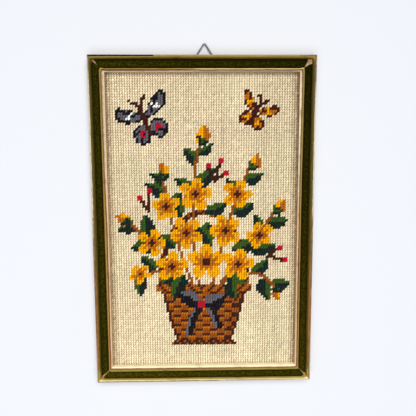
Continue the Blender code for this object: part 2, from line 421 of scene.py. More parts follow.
def railRings(name, section):
    half = railLength(name) / 2
    floorFrom, floorTo, floorBelow = rails["channelFloor"]
    seed = rails["turns"][name] * 17.3
    stations = stationsAlong(half, rails) / half
    rings = np.zeros((len(stations), len(section), 3))
    for ring, share in enumerate(stations):
        fromEnd = (1 - abs(share)) * half
        shifts = [channelShift(name, edge, share, fromEnd) for edge in ("outer", "inner", "groove")]
        fade = min(1, fromEnd / (rails["settle"] * mm))
        for point, (inset, height, wear) in enumerate(section):
            along = share * (half - inset)
            place = shiftedInset(inset, height, shifts)
            if wear:
                slow = railNoise(rails["swayWaves"], along, inset, seed)
                quick = railNoise(rails["dentWaves"], along, inset, seed + 5)
                fine = railNoise(rails["fineWaves"], along, inset, seed + 9)
                dent = max(0, quick - 0.12) * 0.8 + max(0, fine - 0.25) * 0.5
                height -= wear * rails["wear"] * mm * dent * 2 * fade
                height += wear * rails["sway"] * mm * (slow - 0.3) * fade
                place += wear * 0.6 * rails["sway"] * mm * slow * fade
            # the floor of the channel swells a little where two rails meet
            if floorFrom * mm < inset < floorTo * mm and height < floorBelow * mm:
                height += rails["swell"] * mm * math.exp(-(fromEnd / (rails["swell"] * mm)) ** 2)
            rings[ring, point] = (place, height, share * (half - place))
    return rings


def unshifted(name, own, half):
    # the points' insets before the channel's edges were moved
    insets = own[:, 0].copy()
    for point, (inset, height, along) in enumerate(own):
        if height < rails["aboveFloor"] * mm or not 0.8 * mm < inset < 16 * mm:
            continue
        share = max(-1, min(1, along / (half - inset)))
        fromEnd = (1 - abs(share)) * half
        shifts = [channelShift(name, edge, share, fromEnd) for edge in ("outer", "inner", "groove")]
        guess = inset
        for turn in range(8):
            guess -= shiftedInset(guess, height, shifts) - inset
        insets[point] = guess
    return insets


def outlineDistance(spots, section):
    # how far points (inset, height) are from the section's outline
    runs = np.roll(section[:, :2], -1, axis=0) - section[:, :2]
    offset = spots[:, None] - section[None, :, :2]
    share = np.clip((offset * runs).sum(2) / (runs ** 2).sum(1), 0, 1)
    return np.linalg.norm(offset - share[..., None] * runs, axis=2).min(1)


def cornerWays(mesh, way, place, section):
    # each face corner's way round the section; the faces that were cut into the wood are bare
    centres = np.empty(len(mesh.polygons) * 3, np.float32)
    mesh.polygons.foreach_get("center", centres)
    centres = moved(place.inverted(), centres.reshape(-1, 3).astype(float))
    deep = outlineDistance(centres[:, :2], section) > rails["cutDepth"] * mm
    cut = deep & (centres[:, 1] < rails["cutBelow"] * mm)
    sizes = np.empty(len(mesh.polygons), np.int32)
    mesh.polygons.foreach_get("loop_total", sizes)
    corners = np.empty(len(mesh.loops), np.int32)
    mesh.loops.foreach_get("vertex_index", corners)
    return np.where(np.repeat(cut, sizes), bareWay, way[corners])


def markRail(mesh, name, place, section):
    # each vertex's share of the way round the section, its place along the rail, its wear and its painted
    # light
    girth, whole = girthOf(section)
    half = railLength(name) / 2
    own = moved(place.inverted(), meshPoints(mesh))
    along = own[:, 2].copy()
    own[:, 0] = unshifted(name, own, half)
    starts = section[:, :2]
    runs = np.roll(starts, -1, axis=0) - starts
    steps = (runs ** 2).sum(1)
    offset = own[:, None, :2] - starts[None]
    share = np.clip((offset * runs).sum(2) / steps, 0, 1)
    away = np.linalg.norm(offset - share[..., None] * runs, axis=2)
    nearest = away.argmin(1)
    rows = np.arange(len(own))
    way = (girth[nearest] + share[rows, nearest] * np.sqrt(steps)[nearest]) / whole
    addMark(mesh, "girth", cornerWays(mesh, way, place, section), "CORNER")
    addMark(mesh, "along", along)
    spots = np.clip(along / (half - own[:, 0]), -1, 1)
    outer = own[:, 0] < channelMiddle * mm
    for mark, (outerTable, innerTable) in railWearAndLight[name].items():
        addMark(mesh, mark, np.where(outer, fromTable(outerTable, spots), fromTable(innerTable, spots)))


def cutAway(piece, cutters):
    for cutter in cutters:
        cut = piece.modifiers.new("cut", "BOOLEAN")
        cut.operation = "DIFFERENCE"
        cut.object = cutter
    graph = bpy.context.evaluated_depsgraph_get()
    mesh = bpy.data.meshes.new_from_object(piece.evaluated_get(graph))
    piece.modifiers.clear()
    piece.data = mesh
    for cutter in cutters:
        bpy.data.objects.remove(cutter)


def cutterFrom(shape):
    mesh = bpy.data.meshes.new("cutter")
    shape.to_mesh(mesh)
    shape.free()
    cutter = bpy.data.objects.new("cutter", mesh)
    bpy.context.scene.collection.objects.link(cutter)
    return cutter


def cutterBox(low, high):
    shape = bmesh.new()
    bmesh.ops.create_cube(shape, size=1)
    bmesh.ops.scale(shape, verts=shape.verts, vec=high - low)
    bmesh.ops.translate(shape, verts=shape.verts, vec=(low + high) / 2)
    return cutterFrom(shape)


def cutterRod(start, end, radius, sides=16):
    shape = bmesh.new()
    run = Vector(end) - Vector(start)
    halfWay = Matrix.Translation((Vector(start) + Vector(end)) / 2)
    place = halfWay @ run.to_track_quat("Z", "Y").to_matrix().to_4x4()
    bmesh.ops.create_cone(shape, cap_ends=True, segments=sides, radius1=radius, radius2=radius,
                          depth=run.length, matrix=place)
    return cutterFrom(shape)


hardware = {
    "clearance": 0.3,
    "housingWidth": 28.0,  # let into the back of the top rail
    "housingDepth": 3.9,
    "housingInset": 3.5,  # from the rail's inner side
    "housingPast": 1.0,  # how far its cutter runs past the rail's outer side
    "housingBelow": 5.0,  # and below its back
    "nailHole": 0.9,  # radius
    "brads": 8,
    "bradReach": 6.0,  # a brad that starts this near a rail's inner side is driven into it
}


def bradCutters(railName):
    # a hole round each brad that is driven into this rail
    cutters = []
    railLow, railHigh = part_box("rail_" + railName)
    reach = hardware["bradReach"] * mm
    for number in range(1, hardware["brads"] + 1):
        low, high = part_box(f"brad_{number}")
        centre = (low + high) / 2
        size = high - low
        axis = 0 if size.x > size.y else 1
        nearLow = abs(low[axis] - railHigh[axis]) < reach and low[axis] < railHigh[axis] < high[axis]
        nearHigh = abs(high[axis] - railLow[axis]) < reach and low[axis] < railLow[axis] < high[axis]
        if railName in ("left", "right") and axis == 1 or railName in ("top", "bottom") and axis == 0:
            continue
        if not (nearLow or nearHigh):
            continue
        start, end = centre.copy(), centre.copy()
        start[axis] = low[axis] - hardware["clearance"] * mm
        end[axis] = high[axis] + hardware["clearance"] * mm
        cutters.append(cutterRod(start, end, size.z / 2 + hardware["clearance"] * mm))
    return cutters


def hangerCutters():
    # the housing for the ring and strap, and the nail's hole above it
    ringLow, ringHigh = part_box("hanger_ring")
    nailLow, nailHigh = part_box("hanger_nail")
    across = (ringLow.x + ringHigh.x) / 2
    half = hardware["housingWidth"] / 2 * mm
    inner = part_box("rail_top")[0].y + hardware["housingInset"] * mm
    outer = topEdge + hardware["housingPast"] * mm
    housing = cutterBox(Vector((across - half, inner, -hardware["housingBelow"] * mm)),
                        Vector((across + half, outer, hardware["housingDepth"] * mm)))
    nail = (nailLow + nailHigh) / 2
    tip = nailHigh.z + hardware["clearance"] * mm
    hole = cutterRod((nail.x, nail.y, 0), (nail.x, nail.y, tip), hardware["nailHole"] * mm)
    return [housing, hole]


# what each band of the moulding is finished in: its colour where it is sound, where it has turned
# coppery, where it is bright gold and where painted light lies on it, then its roughness and how metallic it
# is
giltBands = {
    "side": ("#B9AA88", "#A98C60", "#A88A4C", "#CDBB93", 0.62, 0.0),
    "edge": ("#B09C76", "#9C6428", "#A88C4C", "#E6D6B6", 0.6, 0.0),
    "cream": ("#A28E62", "#A8763C", "#988040", "#B2966A", 0.5, 0.0),
    "gold": ("#625020", "#865E2C", "#A68A44", "#F0DAA0", 0.45, 0.05),
    "olive": ("#48400E", "#50420E", "#70601A", "#B09A4C", 0.5, 0.05),
    "channel": ("#A08058", "#94602E", "#A88660", "#A06E3A", 0.6, 0.0),
    "lip": ("#867236", "#92702C", "#BEAA6C", "#80702A", 0.45, 0.1),
    "groove": ("#765630", "#784420", "#684630", "#785024", 0.5, 0.05),
    "fillet": ("#BEA686", "#C6A884", "#A88A6E", "#E6D6AA", 0.5, 0.0),
    # painted shade: the wall's sound colour is darkened for the shade beneath the fillet, and its light
    # colour is painted light
    "wall": ("#8C7252", "#BE9F78", "#A08060", "#FCEEC8", 0.6, 0.0),
    "bare": ("#B58E5E", "#B58E5E", "#B58E5E", "#B58E5E", 0.8, 0.0),
}
bandEdge = 0.003  # how far two bands blend, as a share of the girth

# how each rail's outer and inner lips have worn, and where painted light lies on them: tables of
# (share of the half length, amount)
nowhere = ((-1, 0.0), (1, 0.0))
everywhere = ((-1, 1.0), (1, 1.0))
railWearAndLight = {
    "bottom": {
        "coppery": (((-1, 0.4), (-0.8, 0.0), (1, 0.0)), nowhere),
        "golden": (nowhere, nowhere),
        # painted light: the bottom rail is painted lighter along its inner side and most of its outer one
        "light": (((-1, 0.8), (-0.8, 0.9), (0.3, 1.0), (1, 1.0)), everywhere),
        "rubbed": (((-1, 0.7), (-0.8, 0.9), (-0.2, 0.85), (0.1, 0.5), (0.4, 0.15), (1, 0.0)), nowhere),
        "dark": (nowhere, nowhere),
        "pale": (((-1, 0.9), (-0.85, 0.2), (0.7, 0.2), (1, 1.0)), nowhere),
    },
    "right": {
        "coppery": (((-1, 0.2), (-0.93, 0.4), (-0.85, 1.0), (-0.6, 0.9), (-0.3, 0.6), (0.0, 0.1),
                     (1, 0.0)),
                    ((-1, 1.0), (-0.5, 0.9), (0.0, 0.6), (0.2, 0.4), (0.45, 0.0), (1, 0.0))),
        "golden": (((-1, 0.9), (-0.94, 0.6), (-0.86, 0.0), (0.9, 0.0), (1, 0.6)), nowhere),
        "light": (nowhere, nowhere),
        "rubbed": (((-1, 0.0), (-0.5, 0.5), (-0.2, 0.9), (0.0, 0.5), (0.2, 0.0), (0.7, 0.1), (0.9, 0.9),
                    (1, 0.9)),
                   ((-1, 0.1), (-0.7, 0.4), (-0.4, 0.9), (-0.1, 0.5), (0.2, 0.0), (1, 0.0))),
        "dark": (nowhere, nowhere),
        "pale": (((-1, 0.0), (0.0, 0.2), (0.15, 0.8), (0.7, 0.8), (0.9, 0.3), (1, 0.1)),
                 ((-1, 0.0), (0.0, 0.2), (0.4, 0.6), (0.8, 0.6), (1, 0.3))),
    },
    "top": {
        "coppery": (((-1, 0.5), (-0.8, 0.1), (1, 0.0)), ((-1, 0.0), (0.0, 0.0), (0.3, 0.8), (1, 0.8))),
        "golden": (everywhere, ((-1, 1.0), (0.0, 0.8), (0.2, 0.1), (1, 0.0))),
        "light": (nowhere, nowhere),
        "rubbed": (((-1, 0.6), (-0.7, 0.1), (1, 0.1)), ((-1, 0.3), (0.1, 0.4), (0.5, 0.8), (1, 1.0))),
        "dark": (((-1, 0.0), (0.42, 0.0), (0.44, 1.0), (1, 1.0)),
                 ((-1, 0.0), (0.0, 0.1), (0.2, 0.5), (0.6, 0.6), (1, 1.0))),
        "pale": (nowhere, nowhere),
    },
    "left": {
        "coppery": (((-1, 0.2), (-0.9, 0.0), (0.1, 0.0), (0.3, 0.5), (0.6, 1.0), (0.86, 1.0),
                     (0.93, 0.5), (1, 0.2)),
                    ((-1, 0.0), (-0.6, 0.2), (-0.3, 0.5), (0.0, 0.7), (0.6, 0.9), (1, 1.0))),
        "golden": (((-1, 0.5), (-0.9, 0.0), (0.86, 0.0), (0.94, 0.6), (1, 0.9)), nowhere),
        "light": (nowhere, ((-1, 0.2), (0.0, 0.1), (1, 0.0))),
        "rubbed": (((-1, 0.5), (-0.8, 0.1), (-0.1, 0.1), (0.1, 0.8), (0.6, 0.8), (0.8, 0.2), (1, 0.1)),
                   ((-1, 0.0), (-0.15, 0.0), (0.05, 1.0), (0.4, 1.0), (0.7, 0.3), (1, 0.0))),
        "dark": (nowhere, nowhere),
        "pale": (((-1, 0.3), (-0.7, 0.8), (-0.1, 0.8), (0.15, 0.1), (1, 0.0)), nowhere),
    },
}


def bandRamp(tree, factor, starts, pick):
    stops = []
    for index, (start, band) in enumerate(starts):
        if index:
            stops.append((max(0, start - bandEdge), pick(starts[index - 1][1])))
        stops.append((start + (bandEdge if index else 0), pick(band)))
    return rampOf(tree, factor, stops)


def makeGiltFinish(starts):
    finish, tree, shader = newFinish("wornGilt", 0.5, specular=0.3)
    place = placeOf(tree)
    girth = attributeOf(tree, "girth")
    along = attributeOf(tree, "along")
    start = {band: spot for spot, band in starts}
    patch = noiseOf(tree, place, 160, 4, 0.6)
    fine = noiseOf(tree, place, 900, 3, 0.6)
    uneven = calc(tree, "SUBTRACT", noiseOf(tree, place, 110, 5, 0.65), 0.5)
    stray = calc(tree, "MULTIPLY_ADD", calc(tree, "SUBTRACT", patch, 0.5), 0.014, girth)
    stray = calc(tree, "MULTIPLY_ADD", calc(tree, "SUBTRACT", fine, 0.5), 0.008, stray)

    def wornOrLit(mark, spread):
        # a wear or painted light table's amount, broken up into patches
        amount = calc(tree, "MULTIPLY_ADD", uneven, spread, attributeOf(tree, mark))
        return spanOf(tree, amount, 0.3, 0.7)

    def between(first, last, soft=0.004):
        # 1 from one place on the way round to another
        return calc(tree, "MULTIPLY", spanOf(tree, stray, first - soft, first + soft),
                    spanOf(tree, stray, last - soft, last + soft, 1.0, 0.0))

    def paint(kind):
        return bandRamp(tree, stray, starts, lambda band: colour(giltBands[band][kind]))

    shade = mixOf(tree, wornOrLit("coppery", 1.6), paint(0), paint(1))
    shade = mixOf(tree, wornOrLit("golden", 0.8), shade, paint(2))
    # painted light: the light colours on the faces the lamps light most, chiefly the bottom rail's lips,
    # fillet and wall
    shade = mixOf(tree, wornOrLit("light", 0.8), shade, paint(3))
    # pale paint where the gold has gone from a lip
    lips = calc(tree, "MAXIMUM", between(start["edge"] - 0.01, start["gold"] - 0.002),
                between(start["fillet"] - 0.002, start["wall"] - 0.006))
    pale = calc(tree, "MULTIPLY", wornOrLit("pale", 2.0), lips)
    shade = laidOver(tree, shade, pale, 0.85, "#D4C6AA")
    # rubbed lips show the red-brown bole, and the top rail's rim and groove are dark towards its left
    tops = between(start["edge"] - 0.006, start["gold"])
    grooves = between(start["groove"], start["fillet"] + 0.002)
    rubbed = calc(tree, "MULTIPLY", wornOrLit("rubbed", 2.4), calc(tree, "MAXIMUM", tops, grooves))
    bole = mixOf(tree, fine, colour("#56301A"), colour("#7E5632"))
    shade = mixOf(tree, calc(tree, "MULTIPLY", rubbed, 0.8), shade, bole)
    rim = between(start["edge"] - 0.01, start["cream"] + 0.026)
    inner = calc(tree, "MULTIPLY", between(start["groove"], start["fillet"] + 0.010), 0.6)
    rim = calc(tree, "MAXIMUM", rim, inner)
    dark = calc(tree, "MULTIPLY", wornOrLit("dark", 0.5), rim)
    # a thin brown line where the outer bead meets the gold, broken here and there
    line = between(start["gold"] - 0.004, start["gold"] + 0.004, 0.002)
    broken = spanOf(tree, noiseOf(tree, place, 70, 3, 0.6), 0.38, 0.5, 0.0, 0.75)
    line = calc(tree, "MULTIPLY", line, broken)
    shade = mixOf(tree, line, shade, colour("#3E2812"))
    # bare wood, paint and bole show in the channel where the velvet stops short of a mitre
    floor = between(start["channel"], start["olive"])
    shade = laidOver(tree, shade, floor, spanOf(tree, patch, 0.46, 0.60), "#74502A")
    shade = laidOver(tree, shade, floor, spanOf(tree, fine, 0.56, 0.66), "#C8A480")
    shade = mixOf(tree, dark, shade, colour("#1A0F08"))
    # fine streaks along the rail, small chips and specks, and grime in patches
    streak = noiseOf(tree, scaledPair(tree, along, 160, girth, 420), 1, 4, 0.7)
    streaks = rampOf(tree, streak, ((0.3, 0.5), (0.5, 0.9), (0.7, 1.0)))
    shade = mixOf(tree, 0.55, shade, streaks, "MULTIPLY")
    chips = spanOf(tree, noiseOf(tree, place, 420, 5, 0.7), 0.62, 0.70)
    shade = laidOver(tree, shade, chips, 0.55, "#6E4424")
    specks = spanOf(tree, noiseOf(tree, place, 760, 3, 0.7), 0.64, 0.72)
    shade = laidOver(tree, shade, specks, calc(tree, "MULTIPLY", lips, 0.6), "#D8C69C")
    grime = spanOf(tree, noiseOf(tree, place, 90, 4, 0.65), 0.50, 0.75)
    shade = laidOver(tree, shade, grime, 0.4, "#8A7A58", "MULTIPLY")
    # bare wood with its grain along the rail
    grain = noiseOf(tree, scaledPair(tree, along, 14, girth, 60), 3, 6, 0.65)
    woodTones = ((0.3, "#8F6A40"), (0.55, "#B8905E"), (0.75, "#CDA878"))
    wood = rampOf(tree, grain, [(spot, colour(code)) for spot, code in woodTones])
    bare = spanOf(tree, girth, start["bare"] - 0.004, start["bare"] + 0.004)
    shade = mixOf(tree, bare, shade, wood)
    plug(tree, shade, shader.inputs["Base Color"])
    rough = bandRamp(tree, stray, starts, lambda band: giltBands[band][4])
    rough = calc(tree, "ADD", rough, calc(tree, "MULTIPLY", calc(tree, "SUBTRACT", fine, 0.5), 0.3))
    plug(tree, calc(tree, "MAXIMUM", rough, dark), shader.inputs["Roughness"])
    metal = bandRamp(tree, stray, starts, lambda band: giltBands[band][5])
    metal = calc(tree, "MULTIPLY", metal, calc(tree, "SUBTRACT", 1.0, calc(tree, "MAXIMUM", rubbed, dark)))
    plug(tree, metal, shader.inputs["Metallic"])
    normal = bumpOf(tree, fine, 0.00007)
    normal = bumpOf(tree, patch, 0.00010, normal)
    normal = bumpOf(tree, calc(tree, "MULTIPLY", grain, bare), 0.0003, normal)
    plug(tree, normal, shader.inputs["Normal"])
    return finish


def makeRails():
    section = roundedSection(mouldingRows, rails["curveSteps"])
    finish = makeGiltFinish(bandStarts(mouldingRows, rails["curveSteps"]))
    for name in rails["turns"]:
        place = railPlace(name)
        rings = railRings(name, section)
        mesh = sweptMesh("giltRail_" + name, moved(place, rings.reshape(-1, 3)).reshape(rings.shape))
        rail = newObject("giltRail_" + name, mesh, finish)
        cutters = bradCutters(name)
        if name == "top":
            cutters += hangerCutters()
        cutAway(rail, cutters)
        markRail(rail.data, name, place, section)
        setIn(rail, "gilt_wood", "rail_" + name)
    print("Rails made")


makeRails()


# The velvet let into the frame

velvet = {
    "start": 4.45,  # insets of its two long edges
    "end": 11.95,
    "floor": 11.5,
    "edge": 12.2,
    "crown": 12.85,
    "pitch": 0.9,
    "endPitch": 0.12,
    "endRun": 1.8,
    "across": 14,
    "endDroop": 0.45,
    "droopReach": 0.5,
    "creaseDepth": 0.28,
    "creaseWidth": 0.6,
    "creaseWander": 0.8,  # how far a crease strays from straight
    # how far a strip stops short of the mitre at its inner and its outer edge, at its start and end
    "trims": {
        "bottom": ((0.5, 1.8), (0.4, 2.0)),
        "right": ((0.4, 1.7), (0.7, 4.2)),
        "top": ((0.7, 4.0), (0.12, 1.8)),
        "left": ((0.12, 1.7), (0.5, 1.6)),
    },
    # how much greener and lighter a strip is at its start and its end: partly the velvet's own tint and
    # partly painted light, which falls stronger on some strips than on others
    "mossAndLight": {
        "bottom": (0.75, 0.35),
        "right": (0.45, -0.25),
        "top": (0.0, 0.3),
        "left": (0.15, 0.3),
    },
    # painted shadow: how dark a strip is painted along its outer edge, in the shade under the rail's lip
    "lipShadow": {
        "bottom": 0.5,
        "right": 0.5,
        "top": 0.88,
        "left": 0.45,
    },
    # creases that cross a strip, from the middle of its rail
    "creases": {
        "bottom": (-62, 35),
        "right": (124, -40),
        "top": (-13, 70),
        "left": (10, -95),
    },
}


def velvetRings(name):
    half = railLength(name) / 2
    seed = rails["turns"][name] * 7.7 + 3
    places = stationsAlong(half, velvet) / half
    across = [0.0, 0.015, 0.05] + [0.05 + 0.9 * n / velvet["across"] for n in range(1, velvet["across"])]
    across += [0.95, 0.985, 1.0]
    (firstIn, firstOut), (lastIn, lastOut) = velvet["trims"][name]
    across += [1.0, 0.0]  # the two lower edges
    rings = np.zeros((len(places), len(across), 3))
    for ring, share in enumerate(places):
        fromEnd = (1 - abs(share)) * half
        start = velvet["start"] * mm + channelShift(name, "outer", share, fromEnd)
        end = velvet["end"] * mm + channelShift(name, "inner", share, fromEnd)
        for point, over in enumerate(across):
            inset = start + (end - start) * over
            outward = (1 - over) ** 1.6
            trimStart = (firstIn + (firstOut - firstIn) * outward) * mm
            trimEnd = (lastIn + (lastOut - lastIn) * outward) * mm
            low = -half + inset + trimStart
            high = half - inset - trimEnd
            along = low + (high - low) * (share + 1) / 2
            height = velvet["edge"] + (velvet["crown"] - velvet["edge"]) * math.sin(math.pi * over) ** 0.55
            height -= velvet["endDroop"] * math.exp(-(fromEnd / (velvet["droopReach"] * mm)) ** 2)
            for crease in velvet["creases"][name]:
                off = along / mm - crease - velvet["creaseWander"] * math.sin(over * 4 + crease)
                dip = math.exp(-(off / velvet["creaseWidth"]) ** 2) * (0.6 + 0.4 * math.sin(over * 5))
                height -= velvet["creaseDepth"] * dip
            height += 0.10 * softNoise(along / (9 * mm), over * 2, seed)
            height += 0.09 * softNoise(along / (1.6 * mm), over * 5, seed + 2)
            inset += 0.05 * mm * softNoise(along / (4 * mm), over, seed + 4)
            rings[ring, point] = (inset, height * mm, along)
        for point, above in ((-2, -3), (-1, 0)):
            rings[ring, point] = rings[ring, above]
            rings[ring, point, 1] = velvet["floor"] * mm
    mossAndLight = np.interp(places, (-1, 1), velvet["mossAndLight"][name])
    return rings, np.tile(across, (len(places), 1)), np.tile(mossAndLight[:, None], (1, len(across)))


def makeVelvetFinish():
    finish, tree, shader = newFinish("mossVelvet", 0.95, specular=0.0)
    place = placeOf(tree)
    over = attributeOf(tree, "over")
    along = attributeOf(tree, "along")
    mossAndLight = attributeOf(tree, "mossAndLight")
    # painted shadow: a strip darkens further towards black where this mark falls below zero
    shadow = spanOf(tree, mossAndLight, -0.3, 0.0, 0.6, 1.0)
    brushed = noiseOf(tree, scaledPair(tree, along, 110, over, 2.2), 2.6, 4, 0.6)
    nap = noiseOf(tree, place, 1300, 3, 0.7)
    tuft = noiseOf(tree, place, 640, 3, 0.6)
    dark = mixOf(tree, mossAndLight, colour("#080700"), colour("#191602"))
    light = mixOf(tree, mossAndLight, colour("#242003"), colour("#423C06"))
    shade = mixOf(tree, spanOf(tree, brushed, 0.30, 0.70), dark, light)
    tufts = mixOf(tree, mossAndLight, colour("#312D08"), colour("#58500C"))
    shade = mixOf(tree, spanOf(tree, tuft, 0.48, 0.66, 0.0, 0.75), shade, tufts)
    shade = mixOf(tree, spanOf(tree, tuft, 0.52, 0.34, 0.0, 0.75), shade, colour("#060500"))
    # painted shade: each strip is darker along both edges, most along its outer one, in the shade of the lips
    # over it
    outerEdgeShade = calc(tree, "MULTIPLY", spanOf(tree, over, 0.05, 0.52, 1.0, 0.0), attributeOf(tree, "lipShadow"))
    outerEdgeShade = calc(tree, "MAXIMUM", outerEdgeShade, spanOf(tree, over, 0.0, 0.1, 0.9, 0.0))
    innerEdgeShade = spanOf(tree, over, 0.66, 0.98, 0.0, 0.75)
    shade = mixOf(tree, calc(tree, "MAXIMUM", outerEdgeShade, innerEdgeShade), shade, colour("#060501"))
    shade = mixOf(tree, spanOf(tree, nap, 0.3, 0.8, 0.0, 0.3), shade, tufts)
    shade = mixOf(tree, shadow, colour("#0A0901"), shade)
    plug(tree, shade, shader.inputs["Base Color"])
    shader.inputs["Sheen Weight"].default_value = 0.02
    shader.inputs["Sheen Roughness"].default_value = 0.4
    shader.inputs["Sheen Tint"].default_value = (*colour("#8C9440"), 1)
    normal = bumpOf(tree, nap, 0.0004)
    normal = bumpOf(tree, brushed, 0.0005, normal)
    plug(tree, normal, shader.inputs["Normal"])
    return finish


def makeVelvets():
    finish = makeVelvetFinish()
    for name in rails["turns"]:
        place = railPlace(name)
        rings, across, mossAndLight = velvetRings(name)
        mesh = sweptMesh("velvetStrip_" + name, moved(place, rings.reshape(-1, 3)).reshape(rings.shape), 50)
        addMark(mesh, "over", across.reshape(-1))
        # the strip's tint and the painted light along it
        addMark(mesh, "mossAndLight", mossAndLight.reshape(-1))
        # the strength of the painted shadow along the strip's outer edge
        addMark(mesh, "lipShadow", np.full(mossAndLight.size, velvet["lipShadow"][name]))
        addMark(mesh, "along", rings[..., 2].reshape(-1))
        setIn(newObject("velvetStrip_" + name, mesh, finish), "velvet", "velvet_" + name)
    print("Velvet made")


makeVelvets()


# The chart of the needlework: a basket of flowers between two butterflies.
# It is a dictionary from (column, row), counted from the lower left, to a yarn.

design = {
    "columns": 79,
    "rows": 123,
}


def stitchesIn(box):
    for row in range(math.floor(box[1]), math.ceil(box[3]) + 1):
        for column in range(math.floor(box[0]), math.ceil(box[2]) + 1):
            yield column, row


def placeAlong(points, share):
    # the place and the heading at a share of a curve through three points
    (x0, y0), (x1, y1), (x2, y2) = points
    back = 1 - share
    x = back * back * x0 + 2 * share * back * x1 + share * share * x2
    y = back * back * y0 + 2 * share * back * y1 + share * share * y2
    dx = back * (x1 - x0) + share * (x2 - x1)
    dy = back * (y1 - y0) + share * (y2 - y1)
    return x, y, math.degrees(math.atan2(dy, dx))


def chartStem(chart, points, yarn="russet", thick=1, shade=None):
    for step in range(121):
        x, y = placeAlong(points, step / 120)[:2]
        for extra in range(thick):
            chart[(round(x) + extra, round(y))] = shade if extra and shade else yarn


def chartLeaf(chart, base, angle, length, width, light="green", dark="darkGreen"):
    # two rounded halves along a midrib that bends a little, the lower half in the darker yarn
    ax, ay = math.cos(math.radians(angle)), math.sin(math.radians(angle))
    reach = length + 1
    box = (base[0] - reach, base[1] - reach, base[0] + reach, base[1] + reach)
    for column, row in stitchesIn(box):
        dx, dy = column - base[0], row - base[1]
        share = (dx * ax + dy * ay) / length
        if not 0 <= share <= 1:
            continue
        across = dy * ax - dx * ay + 0.9 * math.sin(math.pi * share)
        halfWidth = width / 2 * math.sin(math.pi * share ** 0.75) ** 0.75
        if abs(across) <= halfWidth:
            upper = across * (1 if ax >= 0 else -1) > 0.3
            chart[(column, row)] = light if upper else dark


def chartSpray(chart, points, leaves, yarn="russet", spread=48):
    # a stem with leaves at shares of its length, spread degrees off it: (share, side, length, width)
    for share, side, length, width in leaves:
        x, y, heading = placeAlong(points, share)
        chartLeaf(chart, (x, y), heading + side * spread, length, width)
    chartStem(chart, points, yarn)


def chartBlossom(chart, centre, radius, turn, flat, petals=5):
    # petals round a heart, darker between them; flat below 1 shows the blossom from the side
    box = (centre[0] - radius - 1, centre[1] - radius - 1, centre[0] + radius + 1, centre[1] + radius + 1)
    tilt = math.radians(turn)
    for column, row in stitchesIn(box):
        dx, dy = column - centre[0], row - centre[1]
        x = dx * math.cos(tilt) + dy * math.sin(tilt)
        y = (dy * math.cos(tilt) - dx * math.sin(tilt)) / flat
        away = math.hypot(x, y) / radius
        lobe = abs(math.cos(petals * math.atan2(y, x) / 2))
        if away > 0.52 + 0.54 * lobe ** 0.7:
            continue
        if away < 0.20:
            yarn = "brown"
        elif away < 0.42 or lobe < 0.30 or lobe > 0.93 and away < 0.66:
            yarn = "amber"
        else:
            yarn = "yellow"
        chart[(column, row)] = yarn


def chartBud(chart, base, angle, length, spread=28):
    # a closed flower with a sepal on each side, spread degrees off it
    chartLeaf(chart, base, angle, length, length * 0.66, "yellow", "amber")
    for side in (1, -1):
        chartLeaf(chart, base, angle + side * spread, length * 0.5, 2.4)


def chartBerries(chart, stalk, places):
    for column, row in places:
        chartStem(chart, (stalk, ((stalk[0] + column) / 2, (stalk[1] + row) / 2 + 1), (column, row)), "brown")
    for column, row in places:
        for dx, dy in ((0, 0), (1, 0), (0, 1), (1, 1)):
            chart[(column + dx, row + dy)] = "crimson"


def chartBasket(chart, middle, foot, rim, footHalf, rimHalf):
    for row in range(foot, rim + 1):
        share = (row - foot) / (rim - foot)
        half = footHalf + (rimHalf - footHalf) * share ** 0.7
        for column in range(math.ceil(middle - half), math.floor(middle + half) + 1):
            cell = (column - middle + 60) // 3
            course = (row - foot) // 2
            over = (cell + course) % 2 == 0
            shaded = (column - middle) / half > 0.72
            if abs(column - middle) > half - 1:
                yarn = "brown"
            elif over:
                yarn = "russet" if shaded or (row - foot) % 2 == 0 else "amber"
            else:
                yarn = "brown" if shaded or (row - foot) % 2 == 0 else "russet"
            chart[(column, row)] = yarn
    for row, half in ((foot - 1, footHalf + 1), (foot - 2, footHalf + 2)):
        for column in range(middle - half, middle + half + 1):
            chart[(column, row)] = "brown" if (column + row) % 3 else "russet"
    for row in range(rim + 1, rim + 4):
        for column in range(middle - rimHalf - 2, middle + rimHalf + 3):
            twist = (column + (row if column < middle else -row)) % 4
            chart[(column, row)] = ("brown", "russet", "amber", "russet")[twist]


def chartHandle(chart, middle, foot, half, height):
    for step in range(361):
        angle = math.pi * step / 360
        for lift in (0, 1):
            x = middle + (half - lift) * math.cos(angle)
            y = foot + (height - lift) * math.sin(angle)
            chart[(round(x), round(y))] = ("russet", "brown", "brown")[(int(step / 9) + lift) % 3]


def chartBow(chart, knot):
    for side, droop in ((-1, 13), (1, 10)):
        tail = (knot, (knot[0] + side * 5, knot[1] - 3), (knot[0] + side * 6, knot[1] - droop))
        chartStem(chart, tail, "grey", 3, "charcoal")
    for side in (-1, 1):
        chartLeaf(chart, (knot[0] + side, knot[1]), 90 - side * 66, 10, 7, "grey", "charcoal")
    for column, row in stitchesIn((knot[0] - 1, knot[1] - 1, knot[0] + 1, knot[1] + 1)):
        chart[(column, row)] = "crimson"


